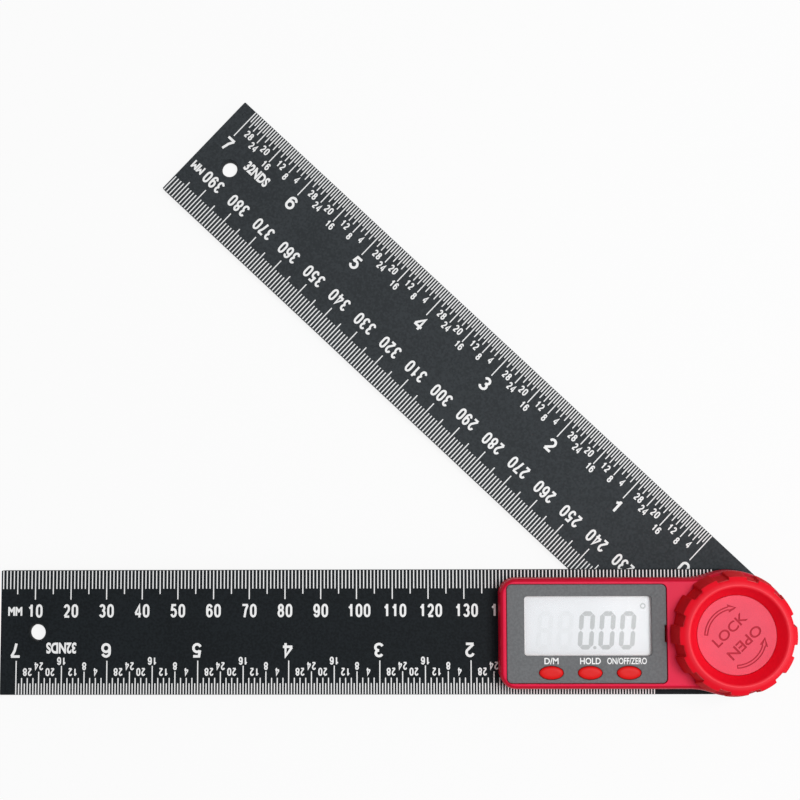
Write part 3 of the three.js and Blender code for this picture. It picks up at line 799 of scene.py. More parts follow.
def cap_plastic(colours):
    """Red plastic with a spark-eroded texture; its pale pink is painted sheen, and its engraving is darker
    as painted shade.
    """
    shade = new_finish("cap_plastic")
    _, _, z = shade.axes()
    surface = box_mm("knob_cap")[1].z
    clouds, grain = shade.clouds(140.0), shade.noise(3200.0, 3.0, 0.7)
    # The engraving's floors, darkened as painted shade
    sunk = 1.0 - z.clipped(surface - 0.2, surface - 0.08)
    tone = (clouds * 0.5 + grain * 0.5).clipped(0.3, 0.7)
    # The cap's pale pink, a painted sheen, with tones of its texture
    plain = shade.mixed(*tones(colours.cap, 0.06), tone)
    return shade.surface(
        bump=grain + shade.pits(2600.0) * 0.6,
        depth=0.05,
        Base_Color=shade.mixed(plain, rgba(*colours.engraving), sunk),
        Roughness=grain * 0.15 + 0.5,
        Specular_IOR_Level=0.2,
    )


def circuit_green():
    """Green solder resist over a lattice of tracks."""
    shade = new_finish("circuit_green")
    x, y, _ = shade.axes()
    tracks = ((x * 2.4).sine() + (y * 3.1).sine()).clipped(0.7, 0.9)
    clouds = shade.noise(200.0, 3.0)
    tone = tracks * 0.7 + clouds * 0.3
    return shade.surface(
        bump=tracks,
        depth=0.03,
        Base_Color=shade.mixed(rgba(0.010, 0.10, 0.04), rgba(0.03, 0.2, 0.08), tone),
        Roughness=clouds * 0.2 + 0.35,
    )


def sensor_copper():
    """Gilded copper with the sensor's radial fingers."""
    shade = new_finish("sensor_copper")
    x, y, _ = shade.axes()
    turn = shade.node("ShaderNodeMath", {"operation": "ARCTAN2"}, {0: y, 1: x})
    fingers = (turn * 48.0).sine().clipped(-0.1, 0.1)
    clouds = shade.noise(200.0, 3.0)
    return shade.surface(
        bump=fingers,
        depth=0.03,
        Base_Color=shade.mixed(rgba(0.03, 0.16, 0.06), rgba(0.62, 0.36, 0.1), fingers),
        Roughness=clouds * 0.2 + 0.3,
        Metallic=fingers * 0.9,
    )


FINISHES = {}


def add_finishes(colours, knob):
    """Makes every finish once, under the names of the record's slots or of its own."""
    FINISHES.update(
        arm_black=mottled("arm_black", colours.base_arm, 0.24, 0.55, 0.06),
        # The swing arm's lighter black is painted light
        swing_black=mottled("swing_black", colours.swing_arm, 0.17, 0.55, 0.07),
        housing_red=housing_plastic(colours),
        knob_red=knob_plastic(colours, knob),
        cap_red=cap_plastic(colours),
        panel_grey=mottled("panel_grey", colours.panel, 0.09, 0.5, 0.16),
        button_red=moulded("button_red", colours.buttons, 0.065, 0.42, 0.01, 0.14),
        clear_window=clear_window(),
        lcd_pale=display_face(colours),
        white_plastic=moulded("white_plastic", (0.75, 0.75, 0.73), 0.07, 0.5),
        board_green=circuit_green(),
        copper_track=sensor_copper(),
        ribbon_amber=moulded("ribbon_amber", (0.375, 0.13, 0.015), 0.2, 0.35),
        dark_rubber=moulded("dark_rubber", (0.0185, 0.0185, 0.02), 0.35, 0.7),
        steel=turned_metal("steel", rgba(0.62, 0.63, 0.65), rgba(0.4, 0.4, 0.42)),
        brass=turned_metal("brass", rgba(0.72, 0.5, 0.16), rgba(0.5, 0.32, 0.09)),
        ink=printed_ink(colours),
        segment=segment_film("segment", colours.segments, 0.1),
        border=segment_film("border", colours.border, 0.02),
        ghost=segment_film("ghost", colours.unlit, 0.03),
    )


# Arms

ARM_GAP = 0.5  # air between the two arms
OVERRUN = 2.0  # how far a cutter passes a face
SLIVER = 0.01  # keeps faces of two cutters out of one plane
POCKET_EDGE = 0.05  # rounding of a pocket
FINE_EDGE = 0.02  # rounding of a bore
BOSS_BORE = 8.1  # radius of the base arm's bore for the swing arm's boss
SEAT_GAP = 0.1  # air over the battery cover
COVER_POCKET = 11.8  # radius of the pocket for the battery cover
LUG_POCKET = 12.7  # radius of the groove that the cover's lugs turn in
LUG_GROOVE = 0.5  # from the groove's lower side to the cover's top
LUG_SLOT = 1.7  # half the width of a slot that a lug passes through
LUG_ANGLES = (0, 120, 240)
COVER_TURN = 45  # degrees, shut to open
CELL_GAP = 0.2  # round the cell
SCREW_POCKET = 2.3  # radius of the room for a screw's head
SCREW_HEAD = 1.3  # height of that head
SCREW_HOLE = 1.2  # radius of the hole for its shank
SCREWS = [f"housing_screw_{i}" for i in range(1, 5)]
# Swing arm's hub: radii of the bush's seat, the bolt head's room, the boss and the rotor's pilot
BUSH_SEAT = 4.8
HEAD_ROOM = 7.25
HEAD_ROOM_TOP = 1.7
BOSS = 8.0
PILOT = 5.7
BLADE_LAP = 0.05  # how far the hub runs into the blade
# Cutter for a hanging hole's bevel: its depth, how far it starts inside the hole's side, and
# its rounded lip, inwards and down
BEVEL_DEPTH = 1.4
BEVEL_LAP = 0.05
BEVEL_LIP = (0.1, 0.15)


def arm_outline(reach, settings):
    """An arm that runs from the hinge towards +X."""
    half = settings.width / 2
    tip = settings.tip_round
    return [
        *arc(0, 0, half, 90, 270, 48),
        *arc(reach - tip, -half + tip, tip, -90, 0, 6),
        *arc(reach - tip, half - tip, tip, 0, 90, 6),
    ]


def arm_blade(reach, bore, low, high, settings):
    """An arm towards +X with its bore at the hinge and its hanging hole."""
    hole = circle(reach - settings.hole_inset, 0, settings.hole_radius, 64)
    loops = [arm_outline(reach, settings), circle(0, 0, bore), hole]
    return plate(loops, low, high, settings.edge, settings.edge, 3)


def hole_bevel(x, top, settings):
    """Cutter for the bevel round a hanging hole."""
    radius, outer = settings.hole_radius, settings.hole_radius + settings.hole_bevel
    inwards, down = BEVEL_LIP
    profile = [
        (radius - BEVEL_LAP, top - BEVEL_DEPTH),
        (outer - inwards, top - down),
        (outer, top),
        (outer, top + OVERRUN),
    ]
    return lathe(profile, 64, x)


def arm_reach():
    return -box_mm("base_arm")[0].x


def swing_top():
    return box_mm("base_arm")[0].z - ARM_GAP


@lru_cache
def swing_turn():
    """Angle of the swing arm from +X, halfway between the corners of its tip in the frame."""
    far = arm_reach() * MM
    vertices = frame["nodes"]["swing_arm"].data.vertices
    corners = [v.co for v in vertices if math.hypot(v.co.x, v.co.y) > far]
    angles = [math.atan2(p.y, p.x) for p in corners]
    return (min(angles) + max(angles)) / 2


def battery_rooms(low, high):
    """Cutters for the battery cover, for the groove of its lugs and for the cell."""
    cell_low, cell_high = box_mm("coin_cell")
    cell = (cell_high.x - cell_low.x) / 2
    cover = box_mm("battery_cover")[1].z
    seat = cover + SEAT_GAP
    [(x, y)] = centres(["coin_cell"])
    return [
        rounded_disc(COVER_POCKET, low - OVERRUN, seat, POCKET_EDGE, x, y),
        rounded_disc(LUG_POCKET, cover - LUG_GROOVE, seat + SLIVER, POCKET_EDGE, x, y),
        rounded_disc(cell + CELL_GAP, low - OVERRUN, high + OVERRUN, POCKET_EDGE, x, y),
    ]


def lug_slots(low):
    """Cutters that let the cover's lugs into their groove."""
    cell_low, cell_high = box_mm("coin_cell")
    cell = (cell_high.x - cell_low.x) / 2
    top = box_mm("battery_cover")[1].z + SEAT_GAP - 2 * SLIVER
    [place] = centres(["coin_cell"])
    slots = []
    for angle in LUG_ANGLES:
        slot = block(cell, LUG_POCKET, -LUG_SLOT, LUG_SLOT, low - OVERRUN, top)
        slots.append(turned(slot, angle - COVER_TURN, *place))
    return slots


def screw_rooms(low, high):
    """Cutters for the heads and shanks of the housing's screws."""
    seat = box_mm(SCREWS[0])[0].z + SCREW_HEAD
    rooms = []
    for x, y in centres(SCREWS):
        rooms.append(rounded_disc(SCREW_POCKET, low - OVERRUN, seat, POCKET_EDGE, x, y, 48))
        rooms.append(rounded_disc(SCREW_HOLE, low - OVERRUN, high + OVERRUN, POCKET_EDGE, x, y, 32))
    return rooms


def build_base_arm(settings):
    low, high = box_mm("base_arm")
    blade = turned(arm_blade(-low.x, BOSS_BORE, low.z, high.z, settings), 180)
    cutters = [
        *battery_rooms(low.z, high.z),
        hole_bevel(low.x + settings.hole_inset, high.z, settings),
        *lug_slots(low.z),
        *screw_rooms(low.z, high.z),
    ]
    piece("base_arm_blade", carved(blade, cutters), "base", "arm_black", ["base_arm"])


def build_swing_arm(settings):
    low, high = box_mm("swing_arm")
    reach, top = arm_reach(), swing_top()
    rotor = box_mm("encoder_rotor")[0].z
    profile = [
        (BUSH_SEAT, HEAD_ROOM_TOP),
        (HEAD_ROOM, HEAD_ROOM_TOP),
        (HEAD_ROOM, top),
        (BOSS, top),
        (BOSS, rotor),
        (PILOT, rotor),
        (PILOT, high.z),
        (BUSH_SEAT, high.z),
    ]
    blade = arm_blade(reach, HEAD_ROOM - BLADE_LAP, low.z, top, settings)
    blade = carved(blade, [hole_bevel(reach - settings.hole_inset, top, settings)])
    mesh = joined([blade, lathe(profile, 72, closed=True)])
    piece("swing_arm_blade", mesh, "swing", "swing_black", ["swing_arm"], turn=swing_turn())


# Printed scales

MILLIMETRES = 200
INCHES = 7
INCH = 25.4
PARTS = 32
# Length of a mark by the step that it falls on, largest step first
MILLIMETRE_MARKS = {10: 8.1, 5: 6.6, 1: 5.15}
INCH_MARKS = {32: 9.4, 16: 8.0, 8: 6.4, 2: 4.65, 1: 3.15}
# From the arm's edge to the foot of each number of 32nds
PART_DROPS = {16: 10.45, 24: 9.0, 8: 9.0, 28: 7.4, 20: 7.4, 12: 7.4, 4: 7.4}
# From the hinge to the middle of each arm's unit
BASE_UNIT = 198.6
SWING_UNIT = 199.25
UNIT_LOOK = {"wide": 0.82, "bold": 0.045}
LABEL_LOOK = {"wide": 0.71, "bold": 0.04}


def mark_length(marks, count):
    return next(reach for step, reach in marks.items() if count % step == 0)


def print_millimetres(bm, direction, numbers, film, scale, half):
    """Marks along the edge at +Y, and numbers as (text, millimetres past the 200 mark)."""
    for count in range(1, MILLIMETRES):
        x = direction * (count + scale.zero)
        end = half - mark_length(MILLIMETRE_MARKS, count)
        ribbon(bm, [(x, half - scale.margin), (x, end)], scale.line, *film)
    for text, count in numbers:
        x = direction * (count + scale.zero)
        number(bm, text, scale.number_height, MILLIMETRE_DIGITS, x, half - scale.number_drop, *film)


def print_inches(bm, direction, film, scale, half):
    """Marks along the edge at -Y, with upside-down numbers of inches and of 32nds."""
    for part in range(PARTS * INCHES + 1):
        x = direction * (scale.inch_zero + part * INCH / PARTS)
        end = -half + mark_length(INCH_MARKS, part)
        ribbon(bm, [(x, -half + scale.margin), (x, end)], scale.line, *film)
        whole, rest = divmod(part, PARTS)
        if rest == 0:
            place = (x + scale.inch_shift, -half + scale.inch_drop)
            number(bm, str(whole), scale.inch_height, INCH_DIGITS, *place, *film, -1)
        elif rest % 4 == 0:
            place = (x, -half + PART_DROPS[rest])
            number(bm, str(rest), scale.part_height, PART_DIGITS, *place, *film, -1)


def print_scales(name, body, direction, numbers, unit_place, surface, turn=0.0):
    """Prints both scales of an arm that runs towards +X, or towards -X with direction -1."""
    scale = in_mm(bpy.context.scene.finder_scale)
    half = in_mm(bpy.context.scene.finder_arm).width / 2
    film = (surface, surface + scale.ink)
    bm = bmesh.new()
    print_millimetres(bm, direction, numbers, film, scale, half)
    print_inches(bm, direction, film, scale, half)
    unit = (direction * unit_place, half - scale.unit_drop)
    label = (direction * scale.label_place, -half + scale.inch_drop)
    labels = [
        words("MM", scale.unit_height, *unit, *film, **UNIT_LOOK),
        words("32NDS", scale.label_height, *label, *film, math.pi, **LABEL_LOOK),
    ]
    mesh = joined([mesh_of(bm), *labels])
    piece(name, mesh, body, "white_plastic", finish="ink", turn=turn)


def build_scales(settings):
    shift = settings.long_shift
    base_numbers = [
        (str(n), MILLIMETRES - n - (shift if n >= 100 else 0)) for n in range(10, 150, 10)
    ]
    swing_numbers = [(str(n), n - MILLIMETRES) for n in range(220, 400, 10)]
    base_top = box_mm("base_arm")[1].z
    print_scales("base_arm_scale", "base", -1, base_numbers, BASE_UNIT, base_top)
    swing = (swing_numbers, SWING_UNIT, swing_top(), swing_turn())
    print_scales("swing_arm_scale", "swing", 1, *swing)


# Housing and panel

WINDOW_MARGIN = 0.9  # from the edge of the window's pane in to its opening, and the corner's radius
PANEL_CORNER = 1.3
BUTTON_HALVES = (3.3, 1.8)  # half of a button's length and width
BUTTON_GAP = 0.1  # round a button
BUTTONS = ["button_1", "button_2", "button_3"]
CEILING_GAP = 0.1  # display's glass to the ceiling over it
CEILING_LAP = 0.5  # how far what reaches the ceiling runs into it
# Hub's outside to the rooms under its ledge and for the sensor's board, and its roof
HUB_LEDGE = 3.7
HUB_WALL = 2.0
HUB_ROOF = 1.5
PASSAGE = 9.0  # half the width of the opening from the display's chamber to the hub
NECK_ROOM = 2.6  # half the side of the square hole for the bolt's neck
CHAMBER_LAP = 0.1  # how far the display's chamber runs into the hub
PANEL_GAP = 0.14  # between the panel and its pocket's walls
# Widening of the panel's pocket and height over the housing's top, from below
POCKET_RIM = ((0, -0.2), (-0.04, -0.06), (-0.12, 0.01), (-0.12, 1.0))
PANE_GROW = 1.1  # window's opening to the pane's seat
GLASS_GROW = 0.45  # window's opening to the hole over the display
PRY_NOTCH = (0.5, 2.35)  # depth and half length of the notch in the panel's end
PRY_ROOM = (0.62, 0.02, 2.3)  # the hole under it: far and near side from the end, half length
SCREW_BOSS = (1.0, 2.0)  # inner and outer radius
PANEL_EDGE = 0.16
EDGE_STEPS = 7
# Words over the buttons: text, place from the hinge, width as a share of the font's
PANEL_LABELS = (("D/M", -49.4, 0.95), ("HOLD", -38.8, 0.87), ("ON/OFF/ZERO", -28.8, 0.7))
LABEL_INK = 0.02
LABEL_BOLD = 0.02


def ceiling():
    """Height of the chamber's ceiling over the display."""
    return box_mm("lcd_glass")[1].z + CEILING_GAP


def housing_outline(reach, hub, settings):
    """Round hub, hollow flares, straight sides and round far corners."""
    half, flare, corner = settings.half_width, settings.flare, settings.corner
    flare_y = half + flare
    flare_x = math.sqrt((hub + flare) ** 2 - flare_y**2)
    turn = math.degrees(math.atan2(flare_y, flare_x))
    far = -reach + corner
    return [
        *arc(0, 0, hub, turn - 180, 180 - turn, 110),
        *arc(-flare_x, flare_y, flare, -turn, -90, 16)[1:],
        *arc(far, half - corner, corner, 90, 180, 14),
        *arc(far, -half + corner, corner, 180, 270, 14),
        *arc(-flare_x, -flare_y, flare, 90, turn, 16)[:-1],
    ]


def window_outline(grow):
    low, high = box_mm("window_lens")
    margin = WINDOW_MARGIN - grow
    sides = (low.x + margin, high.x - margin, low.y + margin, high.y - margin)
    return rounded_rectangle(*sides, WINDOW_MARGIN + grow)


def panel_outline(grow):
    low, high = box_mm("display_panel")
    sides = (low.x - grow, high.x + grow, low.y - grow, high.y + grow)
    return rounded_rectangle(*sides, PANEL_CORNER + grow)


def button_hole(x, y):
    long, wide = (half + BUTTON_GAP for half in BUTTON_HALVES)
    return circle(x, y, long, 64, wide / long)


def housing_skin(foot, settings):
    """The solid housing with a small edge at its foot and a large round one at its top."""
    low, high = box_mm("housing_shell")
    turns = [math.pi / 2 * i / EDGE_STEPS for i in range(EDGE_STEPS + 1)]
    levels = [(settings.foot_edge, foot), (0.0, foot + settings.foot_edge)]
    for t in turns:
        drop = settings.edge_drop * (1 - math.sin(t))
        levels.append((settings.edge * (1 - math.cos(t)), high.z - drop))
    return column([housing_outline(-low.x, high.x, settings)], levels)


def housing_rooms(settings):
    """Cutters for the display's chamber, the rooms in the hub and the bolt's neck."""
    low, high = box_mm("housing_shell")
    hub = high.x
    side = settings.half_width - settings.wall
    under = low.z - OVERRUN
    stator = box_mm("encoder_stator")[1].z
    neck = (-NECK_ROOM, NECK_ROOM, -NECK_ROOM, NECK_ROOM)
    return [
        block(low.x + settings.wall, -hub + CHAMBER_LAP, -side, side, under, ceiling()),
        rounded_disc(hub - HUB_LEDGE, under, high.z - HUB_ROOF, FINE_EDGE),
        rounded_disc(hub - HUB_WALL, under, stator, FINE_EDGE),
        block(-hub - CEILING_LAP, -hub / 2, -PASSAGE, PASSAGE, under, ceiling() - SLIVER),
        block(*neck, high.z - OVERRUN, high.z + OVERRUN),
    ]


def panel_rooms():
    """Cutters for the panel's pocket and for what opens through it."""
    top = box_mm("housing_shell")[1].z
    panel_low, panel_high = box_mm("display_panel")
    pane = box_mm("window_lens")[0].z
    seat = panel_low.z
    through = (ceiling() - OVERRUN, seat + CEILING_LAP)
    far, near, half = PRY_ROOM
    rim = [(grow, top + rise) for grow, rise in POCKET_RIM]
    return [
        column([panel_outline(PANEL_GAP)], [(0, seat), *rim]),
        plate([window_outline(PANE_GROW)], pane, through[1]),
        plate([window_outline(GLASS_GROW)], *through),
        *(plate([button_hole(x, y)], *through) for x, y in centres(BUTTONS)),
        block(panel_high.x - far, panel_high.x - near, -half, half, *through),
    ]


def build_housing(settings):
    foot = box_mm("housing_shell")[0].z + settings.lift
    root = ceiling() + CEILING_LAP
    inner, outer = SCREW_BOSS
    profile = [(inner, foot), (outer, foot), (outer, root), (inner, root)]
    bosses = [lathe(profile, 32, x, y, True) for x, y in centres(SCREWS)]
    cutters = housing_rooms(settings) + panel_rooms()
    mesh = joined([carved(housing_skin(foot, settings), cutters), *bosses])
    piece("housing_cover", mesh, "base", "housing_red", ["housing_shell"])


def build_panel(settings):
    low, high = box_mm("display_panel")
    depth, half = PRY_NOTCH
    near, notch = high.x, high.x - depth
    notch = [(near, -half), (notch, -half), (notch, half), (near, half)]
    outline = panel_outline(0)
    outline[CORNER_STEPS + 1 : CORNER_STEPS + 1] = [Vector(p) for p in notch]
    holes = [window_outline(0.0), *(button_hole(x, y) for x, y in centres(BUTTONS))]
    mesh = plate([outline, *holes], low.z, high.z, PANEL_EDGE, 0.0, 3)
    piece("panel_plate", mesh, "base", "panel_grey", ["display_panel"])
    film = (high.z, high.z + LABEL_INK)
    height, foot = settings.label_height, settings.label_foot
    labels = [
        words(text, height, x, foot, *film, wide=wide, bold=LABEL_BOLD)
        for text, x, wide in PANEL_LABELS
    ]
    piece("panel_labels", joined(labels), "base", "white_plastic", finish="ink")


# Display

DIGIT_SEGMENTS = {
    "top": ((0, 1), (1, 1)),
    "middle": ((0, 0.5), (1, 0.5)),
    "bottom": ((0, 0), (1, 0)),
    "left_high": ((0, 0.5), (0, 1)),
    "left_low": ((0, 0), (0, 0.5)),
    "right_high": ((1, 0.5), (1, 1)),
    "right_low": ((1, 0), (1, 0.5)),
}
SEGMENTS_OF_ZERO = [name for name in DIGIT_SEGMENTS if name != "middle"]
SEGMENT_GAP = 0.06  # from a segment's point to the corner of the digit
LIT_DIGITS = 3
UNLIT_DIGITS = 2
FILM = (0.005, 0.02)  # lower and upper side of the segments' film over the glass
GLASS_EDGE = 0.1
GLASS_PAST = 0.5  # glass past the window's opening
WINDOW_HIGHLIGHT = (0.42, -0.4)  # outer and inner side of the painted highlight round the window, past the opening


def segment(start, end, width):
    """A bar with pointed ends between two points, as a closed loop."""
    along = (end - start).normalized()
    side = Vector((-along.y, along.x)) * (width / 2)
    first, last = start + along * SEGMENT_GAP, end - along * SEGMENT_GAP
    ends = along * (width / 2)
    return [
        first,
        first + ends - side,
        last - ends - side,
        last,
        last - ends + side,
        first + ends + side,
    ]


def digits(left, count, names, settings, film):
    """Meshes of the named segments in a row of digits."""
    stroke = settings.stroke
    run, rise = settings.digit_width - stroke, settings.digit_height - stroke
    meshes = []
    for i in range(count):
        start = left + i * settings.digit_pitch + stroke / 2
        foot = settings.foot + stroke / 2
        for name in names:
            ends = [Vector((start + x * run, foot + y * rise)) for x, y in DIGIT_SEGMENTS[name]]
            loop = segment(*ends, stroke)
            leaned = [Vector((p.x + (p.y - settings.foot) * settings.slant, p.y)) for p in loop]
            meshes.append(plate([leaned], *film))
    return meshes


def build_display(settings):
    low, high = box_mm("lcd_glass")
    film = tuple(high.z + lift for lift in FILM)
    glass = plate([window_outline(GLASS_PAST)], low.z, high.z, GLASS_EDGE, GLASS_EDGE, 2)
    piece("display_glass", glass, "base", "lcd_pale", ["lcd_glass"])
    point = circle(settings.point_left, settings.point_foot, settings.point_radius, 24)
    radii = (settings.degree_outer, settings.degree_inner)
    degree = [circle(settings.degree_left, settings.degree_foot, radius, 40) for radius in radii]
    lit = digits(settings.lit_left, LIT_DIGITS, SEGMENTS_OF_ZERO, settings, film)
    lit += [plate([point], *film), plate(degree, *film)]
    piece("display_digits", joined(lit), "base", "lcd_pale", finish="segment")
    # A near-white band round the window's opening: a painted highlight of the clear window's edge
    border = plate([window_outline(grow) for grow in WINDOW_HIGHLIGHT], *film)
    piece("display_border", border, "base", "lcd_pale", finish="border")
    unlit = digits(settings.unlit_left, UNLIT_DIGITS, DIGIT_SEGMENTS, settings, film)
    piece("display_unlit_digits", joined(unlit), "base", "lcd_pale", finish="ghost")


def build_window():
    low, high = box_mm("window_lens")
    pane = plate([window_outline(WINDOW_MARGIN)], low.z, high.z, GLASS_EDGE, GLASS_EDGE, 2)
    piece("window_pane", pane, "base", "clear_window", ["window_lens"])


# Buttons

BUTTON_BODIES = ("button_left", "button_middle", "button_right")
FLANGE = 0.6  # width of the flange under the panel
FLANGE_EDGE = 0.05
# Rounded top of a button: inset of its length and of its width, drop below its top
BUTTON_CROWN = (
    (0.0, 0.0, 0.55),
    (0.06, 0.06, 0.35),
    (0.2, 0.2, 0.18),
    (0.45, 0.45, 0.07),
    (0.9, 0.8, 0.01),
    (1.7, 1.2, 0.0),
    (2.6, 1.6, 0.0),
)


def build_buttons():
    long, wide = BUTTON_HALVES
    flange = box_mm("lcd_glass")[1].z
    bevel = FLANGE - FLANGE_EDGE
    for i, (node, body) in enumerate(zip(BUTTONS, BUTTON_BODIES), 1):
        low, high = box_mm(node)
        [(x, y)] = centres([node])
        levels = [
            (long + FLANGE, wide + FLANGE, low.z),
            (long + FLANGE, wide + FLANGE, flange - FLANGE_EDGE),
            (long + bevel, wide + bevel, flange),
            (long, wide, flange),
            *((long - a, wide - b, high.z - drop) for a, b, drop in BUTTON_CROWN),
        ]
        rings = [[(*p, z) for p in circle(x, y, a, 72, b / a)] for a, b, z in levels]
        piece(f"button_cap_{i}", loft(rings), body, "button_red", [node])


# Knob and cap

NUT_POCKET = 4.8  # radius of the room round the nut
WASHER_ROOM = 7.3  # radius of the room round the thrust washer
WASHER_GAP = 0.1  # air over the washer
KNOB_BOSS = (7.5, 7.6)  # radius at its foot and where the hollow starts
KNOB_HOLLOW = 2.6  # depth of the hollow under the knob
KNOB_WALL = (2.1, 2.2)  # wall at its foot and where the hollow starts
DISH_GAP = 0.1  # round the cap
BOSS_LIP = 0.02  # from the boss's foot up to the washer's room
# Turns of the knob's section, as points outwards and upwards from the corner that they round
FOOT_TURN = ((-0.2, 0.0), (-0.05, 0.06), (0.0, 0.22))
EDGE_TURN = ((0.02, -0.22), (-0.05, -0.07), (-0.2, 0.06))
CREST_TURN = ((0.2, -0.04), (0.0, 0.0), (-0.25, -0.05), (-0.5, -0.22), (-0.75, -0.55))
DISH_TURN = ((0.42, 0.7), (0.12, 0.18), (0.0, 0.0))
GRIP_SHARES = (0.3, 0.6, 0.9)  # heights between the foot and the upper edge
# Slope from the edge to the crest: outwards from the crest, and down as a share of the slope
SLOPE_SHARES = ((1.2, 1.15), (0.5, 0.5))
NOTCH_FLOOR_SHARES = (0.625, 0.375, 0.125)
NOTCH_EASE = math.radians(0.7)  # rounding where a notch's side meets a tooth
# How deep a notch is across that rounding, as shares of the angle and of the depth
EASE_SHARES = ((-1, 0), (-0.3, 0.1), (0, 0.5), (0.3, 0.9), (1, 1))
CAP_EDGES = (0.12, 0.05)  # upper and lower
# Words on the cap: text, turn, place along and across the slope, width as a share of the font's
CAP_WORDS = (("LOCK", 0, -0.6, 1.1, 1.12), ("OPEN", 180, -0.1, 1.5, 1.2))
CAP_BOLD = 0.016
ARROW_SPANS = ((177, 87), (-88, 0))  # degrees
ARROW_CENTRE = (-0.4, -0.5)
ARROW_HEAD = 17  # degrees
BARB_SHARE = 2.1  # half width of an arrow's head as a share of its shaft's
BARB_LINE = 2.2  # width of the line across a barb as a share of the line's
HOLE_DRAWN_IN = (2, -1.6, 4.2)  # degrees at the tail, the barbs' back and the tip


def knob_profile(settings):
    """Section of the knob: radius, height, and shares of a notch's depth and of its floor's lift."""
    low, high = box_mm("lock_knob")
    seat, floor = (corner.z for corner in box_mm("knob_cap"))
    radius, foot, top = high.x, low.z, high.z
    hollow = foot + KNOB_HOLLOW
    upper = radius - settings.draft
    edge = top - settings.edge_drop
    crest = radius - settings.rim_inset
    slope = settings.edge_drop / (upper - crest)
    washer = box_mm("thrust_washer")[1].z + WASHER_GAP
    dish = box_mm("knob_cap")[1].x + DISH_GAP
    inside = [
        (NUT_POCKET, seat),
        (NUT_POCKET, washer),
        (WASHER_ROOM, washer),
        (WASHER_ROOM, foot + BOSS_LIP),
        (KNOB_BOSS[0], foot),
        (KNOB_BOSS[1], hollow),
        (radius - KNOB_WALL[1], hollow),
        (radius - KNOB_WALL[0], foot),
    ]
    grip = [(radius + out, foot + up, 0) for out, up in FOOT_TURN]
    for share in GRIP_SHARES:
        grip.append((radius - settings.draft * share, foot + (edge - foot) * share, share))
    grip += [(upper + out, edge + up, 1) for out, up in EDGE_TURN]
    rim = [
        *((crest + out, top - slope * share) for out, share in SLOPE_SHARES),
        *((crest + out, top + up) for out, up in CREST_TURN),
        *((dish + out, floor + up) for out, up in DISH_TURN),
        (dish, seat),
    ]
    return [
        *((r, z, 0, 0) for r, z in inside),
        *((r, z, 1, share) for r, z, share in grip),
        *((r, z, 0, 0) for r, z in rim),
    ]


def knob_places(settings):
    """Angles round the knob with the share of a notch's depth at each."""
    radius = box_mm("lock_knob")[1].x
    pitch = 2 * math.pi / settings.teeth
    side = pitch / 2 - math.asin(settings.notch_width / 2 / (radius - settings.notch))
    floor = pitch - 2 * side - 3 * NOTCH_EASE
    steps = [(side * i / 5, 0) for i in range(-4, 5)]
    steps += [(side + NOTCH_EASE * turn, depth) for turn, depth in EASE_SHARES]
    steps += [(pitch - side - 2 * NOTCH_EASE - floor * share, 1) for share in NOTCH_FLOOR_SHARES]
    steps += [(pitch - side - NOTCH_EASE * turn, depth) for turn, depth in reversed(EASE_SHARES)]
    return [(tooth * pitch + angle, depth) for tooth in range(settings.teeth) for angle, depth in steps]


def build_knob(settings):
    slope = settings.edge_drop / (settings.rim_inset - settings.draft)
    lift = slope * settings.notch
    places = knob_places(settings)
    rings = []
    for r, z, sunk, rise in knob_profile(settings):
        row = []
        for angle, depth in places:
            reach = r - settings.notch * sunk * depth
            row.append((reach * math.cos(angle), reach * math.sin(angle), z + lift * rise * depth))
        rings.append(row)
    piece("lock_knob_body", loft(rings, True), "knob", "knob_red", ["lock_knob"])


def arrow_outline(start, end, radius, half, barb, tail=0, back=0, tip=0):
    """An arrow along an arc. Tail, back and tip draw its parts in by degrees."""
    sign = 1 if end > start else -1
    neck = end - ARROW_HEAD * sign
    butt = start + tail * sign

    def at(distance, angle):
        return Vector((distance * math.cos(math.radians(angle)), distance * math.sin(math.radians(angle))))

    return [
        *arc(0, 0, radius + half, butt, neck, 20),
        at(radius + barb, neck - back * sign),
        at(radius, end - tip * sign),
        at(radius - barb, neck - back * sign),
        *arc(0, 0, radius - half, neck, butt, 20),
    ]


def arrow(start, end, settings):
    """Outline of an arrow, and the hole that leaves only its line."""
    radius, half, line = settings.arrow_radius, settings.arrow_half, settings.arrow_line
    barb = half * BARB_SHARE
    outer = arrow_outline(start, end, radius, half, barb)
    inner = (half - line, barb - line * BARB_LINE)
    hole = arrow_outline(start, end, radius, *inner, *HOLE_DRAWN_IN)
    return [outer, hole]


def build_cap(settings):
    low, high = box_mm("knob_cap")
    disc = plate([circle(0, 0, high.x, 128)], low.z, high.z, *CAP_EDGES, 3)
    depth = (high.z - settings.engraving, high.z + OVERRUN)
    slope = math.degrees(settings.text_turn)
    cutters = []
    for text, turn, along, away, wide in CAP_WORDS:
        mesh = words(text, settings.text_height, along, away, *depth, wide=wide, bold=CAP_BOLD)
        cutters.append(turned(mesh, slope + turn))
    for start, end in ARROW_SPANS:
        cutters.append(turned(plate(arrow(start, end, settings), *depth), 0, *ARROW_CENTRE))
    piece("knob_cap_disc", carved(disc, cutters, True), "knob", "cap_red", ["knob_cap"])


# Hinge and underside

BOLT_HEAD = 1.6  # its height
SPANNER_HOLES = (0.8, 4.2, 1.0)  # radius, distance from the axis, depth
JOURNAL = 3.6  # radius of the round part that the bush turns on
NECK = (2.5, 2.4)  # half the side of the square, and radius of the core in it
NECK_DROP = 1.6  # housing's top to the neck's foot
BOLT_DIMPLE = ((0.6, 0.12), (1.2, 0.0))  # radius and height
HEAD_TURN = ((-0.35, 0.0), (-0.1, 0.08), (0.0, 0.3))  # outwards and upwards from its corner
HEAD_CHAMFER = 0.15
